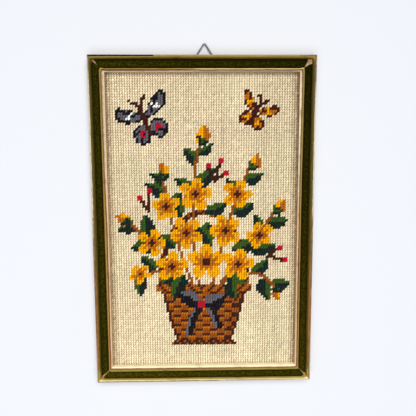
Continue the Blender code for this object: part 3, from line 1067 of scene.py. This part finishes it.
def chartButterfly(chart, centre, size, tilt, wing="grey", edge="charcoal", spot="white"):
    # four wings with a dark border, veins and a band of spots, round a brown body
    tilted = math.radians(tilt)
    box = (centre[0] - size - 1, centre[1] - size - 1, centre[0] + size + 1, centre[1] + size + 1)
    for column, row in stitchesIn(box):
        dx, dy = column - centre[0], row - centre[1]
        x = abs(dx * math.cos(tilted) + dy * math.sin(tilted)) / size
        y = (dy * math.cos(tilted) - dx * math.sin(tilted)) / size
        fore = math.hypot((x - 0.50) / 0.50, (y - 0.16 - 0.50 * x) / (0.16 + 0.24 * x))
        hind = math.hypot((x - 0.32) / 0.34, (y + 0.34 + 0.10 * x) / 0.36)
        reach = min(fore, hind)
        if reach > 1:
            continue
        away = math.hypot(x, y + 0.05)
        vein = round(math.degrees(math.atan2(y + 0.05, x)) / 8) % 3 == 0
        if reach > 0.80 or vein and away > 0.40:
            yarn = edge
        elif 0.62 < away < 0.78 and y > 0:
            yarn = spot
        elif fore > 1 and hind < 0.4:
            yarn = "crimson" if spot == "white" else spot
        else:
            yarn = wing
        chart[(column, row)] = yarn
    ax, ay = -math.sin(tilted), math.cos(tilted)
    for step in range(-round(size * 0.5), round(size * 0.4) + 1):
        for side in (0, 1):
            chart[(round(centre[0] + ax * step) + side - 1, round(centre[1] + ay * step))] = "brown"
    for side in (-1, 1):
        start = (centre[0] + ax * size * 0.4, centre[1] + ay * size * 0.4)
        bend = (start[0] + ax * size * 0.2, start[1] + ay * size * 0.2)
        tip = (start[0] + (ax * 0.5 + side * ay * 0.3) * size, start[1] + (ay * 0.5 - side * ax * 0.3) * size)
        chartStem(chart, (start, bend, tip), "brown")


def makeChart():
    chart = {}
    m = design["columns"] // 2
    chartHandle(chart, m, 36, 18, 30)
    # stems as (foot, bend, tip) and their leaves as (share, side, length, width)
    sprays = (
        (((m - 2, 34), (m - 7, 66), (m - 1, 94)),
         ((0.62, 1, 10, 6), (0.70, -1, 11, 6), (0.84, 1, 8, 5), (0.92, -1, 7, 4))),
        (((m + 3, 34), (m + 9, 62), (m + 19, 84)),
         ((0.60, -1, 10, 6), (0.72, 1, 9, 5), (0.88, -1, 8, 5))),
        (((m - 4, 34), (m - 14, 60), (m - 16, 80)),
         ((0.70, -1, 8, 5), (0.80, 1, 10, 6), (0.93, 1, 7, 4))),
        (((m - 5, 34), (m - 18, 50), (m - 30, 61)),
         ((0.58, 1, 10, 6), (0.75, -1, 10, 6), (0.90, 1, 7, 5))),
        (((m + 5, 34), (m + 18, 48), (m + 29, 66)),
         ((0.55, -1, 11, 6), (0.72, 1, 9, 5), (0.86, -1, 9, 5))),
        (((m - 6, 35), (m - 20, 46), (m - 28, 36)),
         ((0.55, -1, 9, 5), (0.78, 1, 9, 5))),
        (((m + 6, 35), (m + 22, 46), (m + 30, 33)),
         ((0.50, 1, 9, 5), (0.72, -1, 10, 6), (0.88, 1, 8, 5))),
    )
    for points, leaves in sprays:
        chartSpray(chart, points, leaves)
    # column, row, angle, length, width
    leaves = (
        (m - 9, 40, 215, 11, 6), (m + 10, 40, 320, 12, 6), (m - 2, 54, 60, 9, 6), (m + 3, 52, 130, 10, 6),
        (m - 12, 51, 150, 9, 5), (m + 12, 50, 25, 10, 6), (m + 1, 66, 20, 9, 5), (m - 9, 64, 120, 9, 5),
    )
    # column, row, radius, turn, how flat it looks
    blossoms = (
        (m + 1, 45, 7.4, 90, 1.0), (m - 13, 43, 6.4, 15, 0.9), (m + 14, 44, 6.6, 150, 1.0),
        (m - 7, 57, 6.4, 50, 1.0), (m + 9, 58, 6.8, 110, 0.9), (m - 21, 53, 5.6, 0, 1.0),
        (m + 23, 56, 5.8, 36, 0.85), (m - 3, 73, 6.4, 80, 1.0), (m - 15, 68, 5.6, 25, 1.0),
        (m + 14, 73, 5.8, 70, 1.0), (m - 26, 40, 4.8, 200, 0.8),
    )
    # column, row, angle, length
    buds = (
        (m - 1, 93, 80, 8), (m + 19, 83, 62, 7), (m - 16, 79, 96, 7), (m - 30, 60, 140, 7),
        (m + 29, 65, 60, 7), (m + 30, 34, 285, 6),
    )
    for x, y, angle, length, width in leaves:
        chartLeaf(chart, (x, y), angle, length, width)
    for x, y, radius, turn, flat in blossoms:
        chartBlossom(chart, (x, y), radius, turn, flat)
    for x, y, angle, length in buds:
        chartBud(chart, (x, y), angle, length)
    chartBerries(chart, (m + 5, 78), ((m + 2, 84), (m + 7, 86), (m + 9, 81)))
    chartBerries(chart, (m - 22, 66), ((m - 26, 71), (m - 22, 74)))
    chartBerries(chart, (m + 26, 47), ((m + 31, 50), (m + 33, 45)))
    chartBasket(chart, m, 12, 32, 11, 17)
    chartLeaf(chart, (m - 8, 39), 248, 11, 6)
    chartLeaf(chart, (m + 11, 38), 285, 10, 5)
    chartBow(chart, (m - 1, 27))
    chartButterfly(chart, (m - 22, 102), 11, 24)
    chartButterfly(chart, (m + 21, 105), 8, -28, "amber", "brown", "yellow")
    return chart


# The canvas and its stitches

canvas = {
    "thickness": 0.8,
    "pit": 0.5,  # how deep a hole of the weave is
    "pull": 0.55,  # how far the stretched cloth is drawn out of square
    "stray": 0.07,
    "hidden": 4.2,  # under the frame's lip on each side
}

strand = {
    "halfWidth": 1.0,
    "halfHeight": 0.50,
    "narrow": 0.75,  # a stitch's run across its column, as a share of the column
    "tall": 1.14,  # and up its row
    "rings": ((0.03, 0.52), (0.29, 1.0), (0.71, 1.0), (0.97, 0.52)),  # place along it, share of the width
    "sides": 6,
    "sunk": 0.15,  # how far below the canvas its back starts and ends
    "tipDepth": 0.35,  # and its two tips lie
    "aboveBack": 0.1,  # nothing of it is nearer the cloth's back than this
    "seed": 11,
    # how much lighter its wool is, as (row from the bottom, amount) and (column from the left, amount):
    # the lower rows are lighter and the upper ones darker, as painted light that grows towards the bottom,
    # the last few rows lighter again as painted light against the top rail's shadow, and the right side
    # darker
    "rowShade": ((0, 0.09), (50, 0.0), (118, -0.05), (122, 0.12)),
    "columnShade": ((48, 0.0), (66, -0.06)),
}

yarns = {
    "cream": "#DCCEAE",
    "russet": "#8E4A14",
    "brown": "#3E1610",
    "crimson": "#B80A2C",
    "grey": "#5E5C64",
    "charcoal": "#0E0E18",
    "yellow": "#E8A200",
    "amber": "#B4640E",
    "green": "#34521C",
    "darkGreen": "#0A2220",
    "white": "#F4F0E6",
}

# how dark the cloth is at its left, right, bottom and top sight edges, from dirt and painted shade by the
# frame, and how far in mm it reaches
edgeDirtAndShade = ((0.55, 8.5), (0.58, 9.0), (0.0, 4.0), (0.0, 4.0))


def makeGrid():
    # the holes of the canvas, as (columns + 1, rows + 1, 2) places
    random = np.random.default_rng(strand["seed"])
    columns, rows = design["columns"], design["rows"]
    u, v = np.meshgrid(np.linspace(0, 1, columns + 1), np.linspace(0, 1, rows + 1), indexing="ij")
    x = clothLow.x + (clothHigh.x - clothLow.x) * u
    y = clothLow.y + (clothHigh.y - clothLow.y) * v
    inside = np.sin(np.pi * u) ** 0.5 * np.sin(np.pi * v) ** 0.5
    pull = canvas["pull"] * mm
    x += pull * inside * (np.sin(5.1 * v + 0.7) + 0.5 * np.sin(11 * v + 6 * u))
    y += pull * inside * (np.sin(4.3 * u + 2.1) + 0.5 * np.sin(9 * u - 5 * v))
    stray = canvas["stray"] * mm
    x += inside * stray * (random.normal(size=(columns + 1, 1)) + 0.5 * random.normal(size=x.shape))
    y += inside * stray * (random.normal(size=(1, rows + 1)) + 0.5 * random.normal(size=x.shape))
    return np.stack([x, y], axis=-1)


def makeCanvasFinish():
    finish, tree, shader = newFinish("canvasWeave", 0.9, specular=0.1)
    place = placeOf(tree)
    hole = attributeOf(tree, "hole")
    thread = noiseOf(tree, stretched(tree, place, (1, 6, 1)), 700, 3)
    shade = mixOf(tree, thread, colour("#A2845A"), colour("#C0A074"))
    # dirt and painted shade darken the canvas by the frame
    shade = mixOf(tree, attributeOf(tree, "grime"), shade, colour("#4C341C"))
    # the design is printed on the canvas under its stitches
    printed = tree.nodes.new("ShaderNodeAttribute")
    printed.attribute_name = "print"
    shade = mixOf(tree, attributeOf(tree, "printed"), shade, printed.outputs["Color"])
    # painted shade: the canvas is darker at each hole of the weave, where the stitches leave it in shade
    shade = mixOf(tree, spanOf(tree, hole, 0.3, 0.9), shade, colour("#6E583A"))
    plug(tree, shade, shader.inputs["Base Color"])
    plug(tree, bumpOf(tree, thread, 0.0003), shader.inputs["Normal"])
    return finish


def printOf(chart, shape):
    # the colour of each cell's yarn, darkened as painted shade between the stitches, at the canvas mesh's
    # points, and where there is any
    wide, tall = shape
    inks = np.zeros((wide, tall, 4))
    inks[..., 3] = 1
    printed = np.zeros((wide, tall))
    for (column, row), yarn in chart.items():
        if 0 <= column < design["columns"] and 0 <= row < design["rows"]:
            spots = (slice(2 * column, 2 * column + 3), slice(2 * row, 2 * row + 3))
            # 0.55 darkens the print as painted shade between the stitches
            inks[spots][..., :3] = [0.55 * share for share in colour(yarns[yarn])]
            printed[spots] = 0.9
    return inks, printed


def makeCanvas(grid, chart):
    # a closed sheet with a pit at every hole of the weave
    columns, rows = design["columns"], design["rows"]
    top = clothLow.z + canvas["thickness"] * mm
    fine = np.zeros((2 * columns + 1, 2 * rows + 1, 2))
    fine[::2, ::2] = grid
    fine[1::2, ::2] = (grid[1:] + grid[:-1]) / 2
    fine[:, 1::2] = (fine[:, 2::2] + fine[:, :-1:2]) / 2
    hole = np.zeros(fine.shape[:2])
    hole[::2, ::2] = 1
    pit = hole * canvas["pit"] * mm
    pit[0] = pit[-1] = pit[:, 0] = pit[:, -1] = 0
    upper = np.dstack([fine, top - pit]).reshape(-1, 3)
    wide, tall = fine.shape[:2]
    index = np.arange(wide * tall).reshape(wide, tall)
    cells = np.stack([index[:-1, :-1], index[1:, :-1], index[1:, 1:], index[:-1, 1:]], axis=-1)
    faces = cells.reshape(-1, 4).tolist()
    rim = [*index[:, 0], *index[-1, 1:], *index[-2::-1, -1], *index[0, -2:0:-1]]
    lower = upper[rim].copy()
    lower[:, 2] = clothLow.z
    base = len(upper)
    count = len(rim)
    for n in range(count):
        following = (n + 1) % count
        faces.append((rim[n], base + n, base + following, rim[following]))
    faces.append(tuple(range(base, base + count)))
    mesh = closedMesh("stretched_canvas", np.concatenate([upper, lower]), faces, 60)
    # where painted shade darkens the canvas at the holes
    addMark(mesh, "hole", np.concatenate([hole.reshape(-1), np.zeros(count)]))
    dirt = edgeDirtAndShadeOf(np.linspace(0, columns, wide)[:, None], np.linspace(0, rows, tall)[None])
    # dirt and painted shade by the frame
    addMark(mesh, "grime", np.concatenate([dirt.reshape(-1), np.zeros(count)]))
    inks, printed = printOf(chart, fine.shape[:2])
    addMark(mesh, "printed", np.concatenate([printed.reshape(-1), np.zeros(count)]))
    ink = mesh.attributes.new("print", "FLOAT_COLOR", "POINT")
    shades = np.concatenate([inks.reshape(-1, 4), np.ones((count, 4))]).astype(np.float32)
    ink.data.foreach_set("color", shades.reshape(-1))
    return newObject("stretchedCanvas", mesh, makeCanvasFinish())


def slowField(random, shape, knots):
    # a random field from -1 to 1 that changes slowly over the cloth, straight between its knots
    field = random.uniform(-1, 1, (knots[0] + 1, knots[1] + 1))
    u = np.linspace(0, knots[0], shape[0])
    v = np.linspace(0, knots[1], shape[1])
    rowsDone = np.stack([np.interp(v, np.arange(knots[1] + 1), line) for line in field])
    return np.stack([np.interp(u, np.arange(knots[0] + 1), rowsDone[:, n]) for n in range(shape[1])], axis=1)


def stitchFields():
    # how each stitch of the cloth strays from the plain one
    random = np.random.default_rng(strand["seed"] + 1)
    shape = (design["columns"], design["rows"])
    perColumn = random.normal(size=(shape[0], 1))
    perRow = random.normal(size=(1, shape[1]))
    # painted light down the rows, and the right side darker
    byRow = fromTable(strand["rowShade"], np.arange(shape[1]))[None]
    byColumn = fromTable(strand["columnShade"], np.arange(shape[0]))[:, None]
    return {
        "width": (1 + 0.06 * random.normal(size=shape) + 0.03 * perColumn
                  + 0.05 * slowField(random, shape, (8, 12))),
        "height": 1 + 0.07 * random.normal(size=shape),
        "narrow": 1 + 0.10 * slowField(random, shape, (7, 11)) + 0.06 * random.normal(size=shape),
        "lift": 0.06 * random.normal(size=shape),
        "aside": 0.06 * random.normal(size=shape),
        "up": 0.07 * random.normal(size=shape),
        "shade": (0.475 + 0.11 * random.normal(size=shape) + 0.04 * perColumn + 0.03 * perRow
                  + 0.07 * slowField(random, shape, (9, 14)) + byRow + byColumn),
        "tint": 0.5 + 0.35 * slowField(random, shape, (6, 9)),
        "grime": random.normal(size=shape),
    }


def edgeDirtAndShadeOf(columns, rows, stray=0.0):
    # how dark the cloth is at a column and row, from dirt and painted shade by the frame, by its distance to
    # the sight edges
    pitch = (clothHigh.x - clothLow.x) / design["columns"] / mm
    worst = np.zeros(np.broadcast(columns, rows).shape)
    ways = ((columns, design["columns"], edgeDirtAndShade[:2]), (rows, design["rows"], edgeDirtAndShade[2:]))
    for place, last, amounts in ways:
        for way, (most, reach) in zip((place, last - place), amounts):
            clear = np.clip((way * pitch - canvas["hidden"]) / reach, 0, 1)
            worst = np.maximum(worst, most * (1 - clear * clear * (3 - 2 * clear)))
    return np.clip(worst * (1 + 0.18 * stray), 0, 1)


def strandMesh(name, stitches, grid, fields):
    # one closed strand for each stitch, from its lower left hole over to its upper right one
    columns = np.array([c for c, r in stitches])
    rows = np.array([r for c, r in stitches])
    low, high = grid[columns, rows], grid[columns + 1, rows + 1]
    mid = (low + high) / 2
    pick = {key: field[columns, rows] for key, field in fields.items()}
    run = high - low
    run[:, 0] *= strand["narrow"] * pick["narrow"]
    run[:, 1] *= strand["tall"]
    mid[:, 0] += pick["aside"] * mm
    mid[:, 1] += pick["up"] * mm
    length = np.linalg.norm(run, axis=1)
    ahead = run / length[:, None]
    beside = np.stack([ahead[:, 1], -ahead[:, 0]], axis=1)
    top = clothLow.z + canvas["thickness"] * mm
    middleHeight = clothHigh.z - strand["halfHeight"] * mm
    sunk = strand["sunk"] * mm
    sides = strand["sides"]
    angles = np.arange(sides) * 2 * math.pi / sides
    count = len(stitches)
    points = np.zeros((count, len(strand["rings"]) * sides + 2, 3))
    along = np.zeros((count, points.shape[1]))
    for ring, (place, share) in enumerate(strand["rings"]):
        centre = mid + run * (place - 0.5)
        arch = math.sin(math.pi * place) ** 0.55
        level = top - sunk + (middleHeight - top + sunk) * arch + pick["lift"] * mm * arch
        half = strand["halfWidth"] * mm * share * pick["width"]
        tall = strand["halfHeight"] * mm * (0.6 + 0.4 * share) * pick["height"]
        for side, angle in enumerate(angles):
            spot = ring * sides + side
            points[:, spot, :2] = centre + beside * (half * math.cos(angle))[:, None]
            points[:, spot, 2] = level + tall * math.sin(angle)
            along[:, spot] = place
    points[:, -2, :2] = mid - run * 0.5
    points[:, -1, :2] = mid + run * 0.5
    points[:, -2:, 2] = top - strand["tipDepth"] * mm
    points[..., 2] = np.clip(points[..., 2], clothLow.z + strand["aboveBack"] * mm, clothHigh.z)
    along[:, -1] = 1
    faces = []
    rings = len(strand["rings"])
    for ring in range(rings - 1):
        for side in range(sides):
            following = (side + 1) % sides
            faces.append((ring * sides + side, ring * sides + following,
                          (ring + 1) * sides + following, (ring + 1) * sides + side))
    last = (rings - 1) * sides
    tips = []
    for side in range(sides):
        following = (side + 1) % sides
        tips.append((rings * sides, following, side))
        tips.append((rings * sides + 1, last + side, last + following))
    starts = (np.arange(count) * points.shape[1])[:, None, None]
    allFaces = (starts + np.array(faces)).reshape(-1, 4).tolist()
    allFaces += (starts + np.array(tips)).reshape(-1, 3).tolist()
    mesh = bpy.data.meshes.new(name)
    mesh.from_pydata(points.reshape(-1, 3).tolist(), [], allFaces)
    mesh.shade_smooth()
    each = points.shape[1]
    addMark(mesh, "shade", np.repeat(pick["shade"], each))
    addMark(mesh, "tint", np.repeat(pick["tint"], each))
    # dirt and painted shade by the frame, for each stitch
    addMark(mesh, "grime", np.repeat(edgeDirtAndShadeOf(columns + 0.5, rows + 0.5, pick["grime"]), each))
    turn = np.concatenate([np.tile(np.arange(sides) / sides, rings), [0.5, 0.5]])
    addMark(mesh, "twist", (along * 5 + turn[None]).reshape(-1))
    return mesh


def makeWoolFinish(name, code):
    finish, tree, shader = newFinish(name + "Wool", 0.9, specular=0.08)
    place = placeOf(tree)
    shade, tint, grime = (attributeOf(tree, mark) for mark in ("shade", "tint", "grime"))
    base = colour(code)
    fuzz = noiseOf(tree, place, 2600, 3, 0.7)
    lightness = calc(tree, "MULTIPLY_ADD", shade, 0.56, 0.72)
    lightness = calc(tree, "MULTIPLY_ADD", calc(tree, "SUBTRACT", fuzz, 0.5), 0.3, lightness)
    if name == "cream":
        # the ground yarn varies from a greener to a pinker cream, and is browner by the frame from dirt and
        # painted shade
        warm = mixOf(tree, tint, colour("#DCD4AC"), colour("#E2C8A8"))
        colourNow = mixOf(tree, 0.6, base, warm)
        colourNow = mixOf(tree, grime, colourNow, colour("#8E6C42"))
    else:
        # dirt and painted shade darken the other yarns by the frame
        colourNow = laidOver(tree, base, grime, 0.4, "#5A462C")
    both = tree.nodes.new("ShaderNodeVectorMath")
    both.operation = "SCALE"
    plug(tree, colourNow, both.inputs[0])
    plug(tree, lightness, both.inputs["Scale"])
    plug(tree, both.outputs["Vector"], shader.inputs["Base Color"])
    ply = calc(tree, "SINE", calc(tree, "MULTIPLY", attributeOf(tree, "twist"), 2 * math.pi))
    normal = bumpOf(tree, ply, 0.00006)
    normal = bumpOf(tree, fuzz, 0.00025, normal)
    plug(tree, normal, shader.inputs["Normal"])
    return finish


def makeNeedlework():
    grid = makeGrid()
    chart = makeChart()
    cloth = makeCanvas(grid, chart)
    setIn(cloth, "wool", "needlework")
    fields = stitchFields()
    groups = {name: [] for name in yarns}
    for row in range(design["rows"]):
        for column in range(design["columns"]):
            groups[chart.get((column, row), "cream")].append((column, row))
    half = len(groups["cream"]) // 2
    parts = {"creamYarnBelow": groups["cream"][:half], "creamYarnAbove": groups["cream"][half:]}
    parts.update({name + "Yarn": group for name, group in groups.items() if name != "cream" and group})
    finishes = {name: makeWoolFinish(name, code) for name, code in yarns.items()}
    for name, group in parts.items():
        piece = newObject(name, strandMesh(name, group, grid, fields), finishes[name.split("Yarn")[0]])
        setIn(piece, "wool")
    print("Needlework made:", sum(len(group) for group in parts.values()), "stitches")


makeNeedlework()


# The board behind the cloth, its brads and the hanger

board = {
    "columns": 30,
    "rows": 46,
    "edge": 0.35,  # how far its edges are rubbed round
    "uneven": 0.16,
}

hanger = {
    "wire": 1.4,
    "wireSides": 12,
    "level": 2.0,  # height of the ring's middle
    "apex": 13.2,  # from the top edge out to where the ring's sides would meet
    "base": 4.5,  # from the top edge in to the ring's base
    "halfWidth": 11.8,
    "bend": 1.5,
    "bendSteps": 8,
    "sideSteps": 6,
    "strapWidth": 9.0,
    "strapEnd": 11.2,
    "strapShort": 0.15,  # how much sooner its under end stops
    "strapLap": 0.6,  # from the middle of its upper end to that of its under end
    "strapBevel": 0.12,
    "strapSteps": 24,
    "strapHole": 0.8,  # radius
    "strapLoop": 1.3,  # radius to the middle of the sheet
    "sheet": 0.56,
    "nailInset": 8.8,
    "nailShank": 0.6,  # radius
}


def makeCardFinish():
    finish, tree, shader = newFinish("greyCard", 0.9, specular=0.2)
    place = placeOf(tree)
    fibre = noiseOf(tree, place, 900, 5, 0.7)
    cloud = noiseOf(tree, place, 22, 4, 0.6)
    shade = mixOf(tree, fibre, colour("#8A7656"), colour("#B8A27C"))
    shade = mixOf(tree, spanOf(tree, cloud, 0.45, 0.75, 0.0, 0.6), shade, colour("#7C6240"))
    fox = spanOf(tree, noiseOf(tree, place, 130, 2), 0.70, 0.78)
    shade = laidOver(tree, shade, fox, 0.6, "#6A4322")
    plug(tree, shade, shader.inputs["Base Color"])
    plug(tree, bumpOf(tree, fibre, 0.0002), shader.inputs["Normal"])
    return finish


def makeSteelFinish():
    finish, tree, shader = newFinish("dullSteel", 0.45, metallic=1.0)
    place = placeOf(tree)
    cloud = noiseOf(tree, place, 500, 4, 0.65)
    shade = mixOf(tree, cloud, colour("#4A4A4C"), colour("#7E7E80"))
    rust = spanOf(tree, noiseOf(tree, place, 330, 4, 0.7), 0.6, 0.72)
    shade = laidOver(tree, shade, rust, 0.6, "#5A3824")
    plug(tree, shade, shader.inputs["Base Color"])
    plug(tree, spanOf(tree, cloud, 0.3, 0.7, 0.35, 0.6), shader.inputs["Roughness"])
    plug(tree, bumpOf(tree, cloud, 0.0001), shader.inputs["Normal"])
    return finish


def makeBoard():
    # a sheet of card whose faces sag a little and whose edges are rubbed
    low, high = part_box("backing_board")
    edge = board["edge"] * mm
    spread = [-1.0] + [-1 + 2 * n / board["columns"] for n in range(board["columns"] + 1)] + [1.0]
    rings = []
    for row in range(-1, board["rows"] + 2):
        end = row in (-1, board["rows"] + 1)
        y = low.y + (high.y - low.y) * min(1, max(0, row / board["rows"]))
        if not end:
            y = min(max(y, low.y + edge), high.y - edge)
        inset = edge if end else 0
        upper, lower = [], []
        for n, across in enumerate(spread):
            rim = n in (0, len(spread) - 1)
            x = (low.x + high.x) / 2 + across * ((high.x - low.x) / 2 - (0 if rim else edge))
            x += (edge * 0.4 * softNoise(y / (7 * mm), across * 3) - edge * 0.4) * (across if rim else 0)
            sag = board["uneven"] * mm * (0.5 + 0.5 * softNoise(x / (26 * mm), y / (26 * mm), 4))
            sag += board["uneven"] * 0.3 * mm * (0.5 + 0.5 * softNoise(x / (6 * mm), y / (6 * mm), 8))
            drop = max(inset, edge if rim else 0)
            upper.append((x, y, high.z - sag - drop))
            lower.append((x, y, low.z + sag + drop))
        rings.append(upper + lower[::-1])
    mesh = sweptMesh("cardBoard", np.array(rings), 40)
    setIn(newObject("cardBoard", mesh, makeCardFinish()), "card", "backing_board")


def makeBrads(steel):
    # thin round nails with small heads, driven into the rebate from inside
    meshes = []
    for number in range(1, hardware["brads"] + 1):
        low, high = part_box(f"brad_{number}")
        size = high - low
        axis = 0 if size.x > size.y else 1
        radius = size.z / 2
        inner, outer = (low + high) / 2, (low + high) / 2
        outward = 1 if inner[axis] > middle[axis] else -1
        inner[axis] -= outward * size[axis] / 2
        outer[axis] += outward * size[axis] / 2
        length = size[axis]
        profile = ((0, radius * 0.6), (0.15 * mm, radius), (0.5 * mm, radius), (0.65 * mm, radius * 0.8),
                   (length - 2 * mm, radius * 0.8), (length, 0.08 * mm))
        meshes.append(rodRings(inner, outer, profile))
    points, faces = [], []
    for rings in meshes:
        part = sweptMesh("brad", rings)
        base = len(points)
        points += meshPoints(part).tolist()
        faces += [tuple(base + index for index in face.vertices) for face in part.polygons]
        bpy.data.meshes.remove(part)
    names = [f"brad_{number}" for number in range(1, hardware["brads"] + 1)]
    setIn(newObject("brads", closedMesh("brads", points, faces, 40), steel), "steel", *names)


def hangerPlace(inset, level, across=0.0):
    # from the hanger's own inset, height and place across to the row frame
    ringLow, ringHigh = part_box("hanger_ring")
    return Vector(((ringLow.x + ringHigh.x) / 2 + across * mm, topEdge - inset * mm, level * mm))


def makeRing(steel):
    # a wire bent to a triangle, its three corners rounded
    corners = [Vector(spot) for spot in ((-hanger["apex"], 0.0), (hanger["base"], hanger["halfWidth"]),
                                         (hanger["base"], -hanger["halfWidth"]))]
    path = []
    for index, corner in enumerate(corners):
        before = (corners[index - 1] - corner).normalized()
        after = (corners[(index + 1) % 3] - corner).normalized()
        half = before.angle(after) / 2
        centre = corner + (before + after).normalized() * hanger["bend"] / math.sin(half)
        first = corner + before * hanger["bend"] / math.tan(half) - centre
        turn = first.angle_signed(corner + after * hanger["bend"] / math.tan(half) - centre)
        for step in range(hanger["bendSteps"] + 1):
            spot = first.copy()
            spot.rotate(Matrix.Rotation(-turn * step / hanger["bendSteps"], 2))
            path.append(centre + spot)
        # the straight run to the next corner, in a few steps
        following = corners[(index + 1) % 3]
        reach = hanger["bend"] / math.tan((-after).angle(corners[(index + 2) % 3] - following) / 2)
        start, end = path[-1], following - after * reach
        path += [start.lerp(end, step / hanger["sideSteps"]) for step in range(1, hanger["sideSteps"])]
    count = len(path)
    rings = []
    for n, spot in enumerate(path):
        ahead = (path[(n + 1) % count] - path[n - 1]).normalized()
        beside = Vector((ahead.y, -ahead.x))
        ring = []
        for side in range(hanger["wireSides"]):
            angle = 2 * math.pi * side / hanger["wireSides"]
            flat = spot + beside * hanger["wire"] / 2 * math.cos(angle)
            ring.append(hangerPlace(flat.x, hanger["level"] + hanger["wire"] / 2 * math.sin(angle), flat.y))
        rings.append(ring)
    mesh = sweptMesh("wireRing", np.array(rings), 50, loop=True)
    setIn(newObject("wireRing", mesh, steel), "steel", "hanger_ring")


def makeStrap(steel):
    # sheet folded round the ring's base, its two ends laid together and held by the nail
    loop, half = hanger["strapLoop"], hanger["sheet"] / 2
    upper, under = hanger["level"] + loop, hanger["level"] + loop - hanger["strapLap"]
    meeting = math.asin((under - hanger["level"]) / loop)
    halfWay = (hanger["strapEnd"] + hanger["base"]) / 2
    path = [Vector((hanger["strapEnd"], upper)), Vector((halfWay, upper))]
    for step in range(hanger["strapSteps"] + 1):
        angle = math.pi / 2 + (1.5 * math.pi + meeting) * step / hanger["strapSteps"]
        spot = (hanger["base"] + loop * math.cos(angle), hanger["level"] + loop * math.sin(angle))
        path.append(Vector(spot))
    path.append(Vector((path[-1].x + 0.5, under)))
    path.append(Vector((hanger["strapEnd"] - hanger["strapShort"], under)))
    one, two = [], []
    for n, spot in enumerate(path):
        ahead = (path[min(n + 1, len(path) - 1)] - path[max(n - 1, 0)]).normalized()
        beside = Vector((-ahead.y, ahead.x)) * half
        one.append(spot + beside)
        two.append(spot - beside)
    outline = one + two[::-1]
    centres = path + path[::-1]
    wide = hanger["strapWidth"] / 2
    sound = wide - hanger["strapBevel"]
    rings = []
    for across, share in ((-wide, 0.6), (-sound, 1.0), (0.0, 1.0), (sound, 1.0), (wide, 0.6)):
        spots = [centre.lerp(spot, share) for centre, spot in zip(centres, outline)]
        rings.append([hangerPlace(spot.x, spot.y, across) for spot in spots])
    strap = newObject("foldedStrap", sweptMesh("foldedStrap", np.array(rings), 40), steel)
    nail = hangerPlace(hanger["nailInset"], 0)
    cutAway(strap, [cutterRod(nail, nail + Vector((0, 0, 6 * mm)), hanger["strapHole"] * mm)])
    setIn(strap, "steel", "hanger_strap")


def makeNail(steel):
    low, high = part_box("hanger_nail")
    start = Vector(((low.x + high.x) / 2, (low.y + high.y) / 2, low.z))
    end = Vector((start.x, start.y, high.z))
    head, shank, tall = (high.x - low.x) / 2, hanger["nailShank"] * mm, high.z - low.z
    profile = ((0, head * 0.3), (0.06 * mm, head * 0.6), (0.2 * mm, head * 0.88), (0.42 * mm, head),
               (0.68 * mm, head), (0.7 * mm, shank), (tall - 1.5 * mm, shank), (tall, 0.05 * mm))
    mesh = sweptMesh("roundNail", rodRings(start, end, profile, 20), 40)
    setIn(newObject("roundNail", mesh, steel), "steel", "hanger_nail")


steel = makeSteelFinish()
makeBoard()
makeBrads(steel)
makeRing(steel)
makeStrap(steel)
makeNail(steel)
print("Back made")


# Floor, light and camera

studio = {
    "floorSize": 9.0,
    "floorColour": (0.572, 0.584, 0.612),
    # name: place, size, power
    "lamps": {
        "windowLight": ((0.6, 3.4, 6.3), (4.8, 3.2), 540.0),
        "roomLight": ((-0.1, -0.40, 1.25), (1.1, 0.9), 10.0),
    },
    "sky": (0.95, 0.97, 1.0),
    "skyStrength": 0.31,
}

view = {
    "sensor": 36.0,
    "lens": 43.27,
    "distance": 510.0,  # mm from the picture's middle
    "turned": (7.23, 1.415, 0.395),  # degrees that the picture is turned from the camera
    "aside": (-4.67, -16.86),  # mm that its middle stands off the camera's axis
    "level": 14.4,  # height of the outline that the camera was set by
}


def makeStudio():
    shape = bmesh.new()
    bmesh.ops.create_grid(shape, x_segments=2, y_segments=2, size=studio["floorSize"] / 2)
    mesh = bpy.data.meshes.new("paleFloor")
    shape.to_mesh(mesh)
    shape.free()
    finish, tree, shader = newFinish("paleFloor", 0.8, specular=0.2)
    shader.inputs["Base Color"].default_value = (*studio["floorColour"], 1)
    floor = newObject("paleFloor", mesh, finish)
    floor.location.z = -0.1 * mm
    for name, (place, size, power) in studio["lamps"].items():
        data = bpy.data.lights.new(name, "AREA")
        data.shape = "RECTANGLE"
        data.size, data.size_y = size
        data.energy = power
        lamp = bpy.data.objects.new(name, data)
        bpy.context.scene.collection.objects.link(lamp)
        lamp.location = place
        lamp.rotation_euler = (-Vector(place)).to_track_quat("-Z", "Y").to_euler()
    world = bpy.data.worlds.new("sky")
    world.use_nodes = True
    world.node_tree.nodes["Background"].inputs["Color"].default_value = (*studio["sky"], 1)
    world.node_tree.nodes["Background"].inputs["Strength"].default_value = studio["skyStrength"]
    bpy.context.scene.world = world
    bpy.context.scene.view_settings.view_transform = "Standard"


def makeCamera():
    data = bpy.data.cameras.new("camera")
    data.sensor_width = view["sensor"]
    data.lens = view["lens"]
    data.clip_start = 0.01
    camera = bpy.data.objects.new("camera", data)
    bpy.context.scene.collection.objects.link(camera)
    turned = Euler([math.radians(angle) for angle in view["turned"]]).to_matrix()
    aside = Vector((-view["aside"][0], -view["aside"][1], view["distance"])) * mm
    centre = middle + Vector((0, 0, view["level"] * mm))
    facing = turned.transposed()
    camera.matrix_world = Matrix.Translation(centre + facing @ aside) @ facing.to_4x4()
    bpy.context.scene.camera = camera


makeStudio()
makeCamera()
print("Studio made")
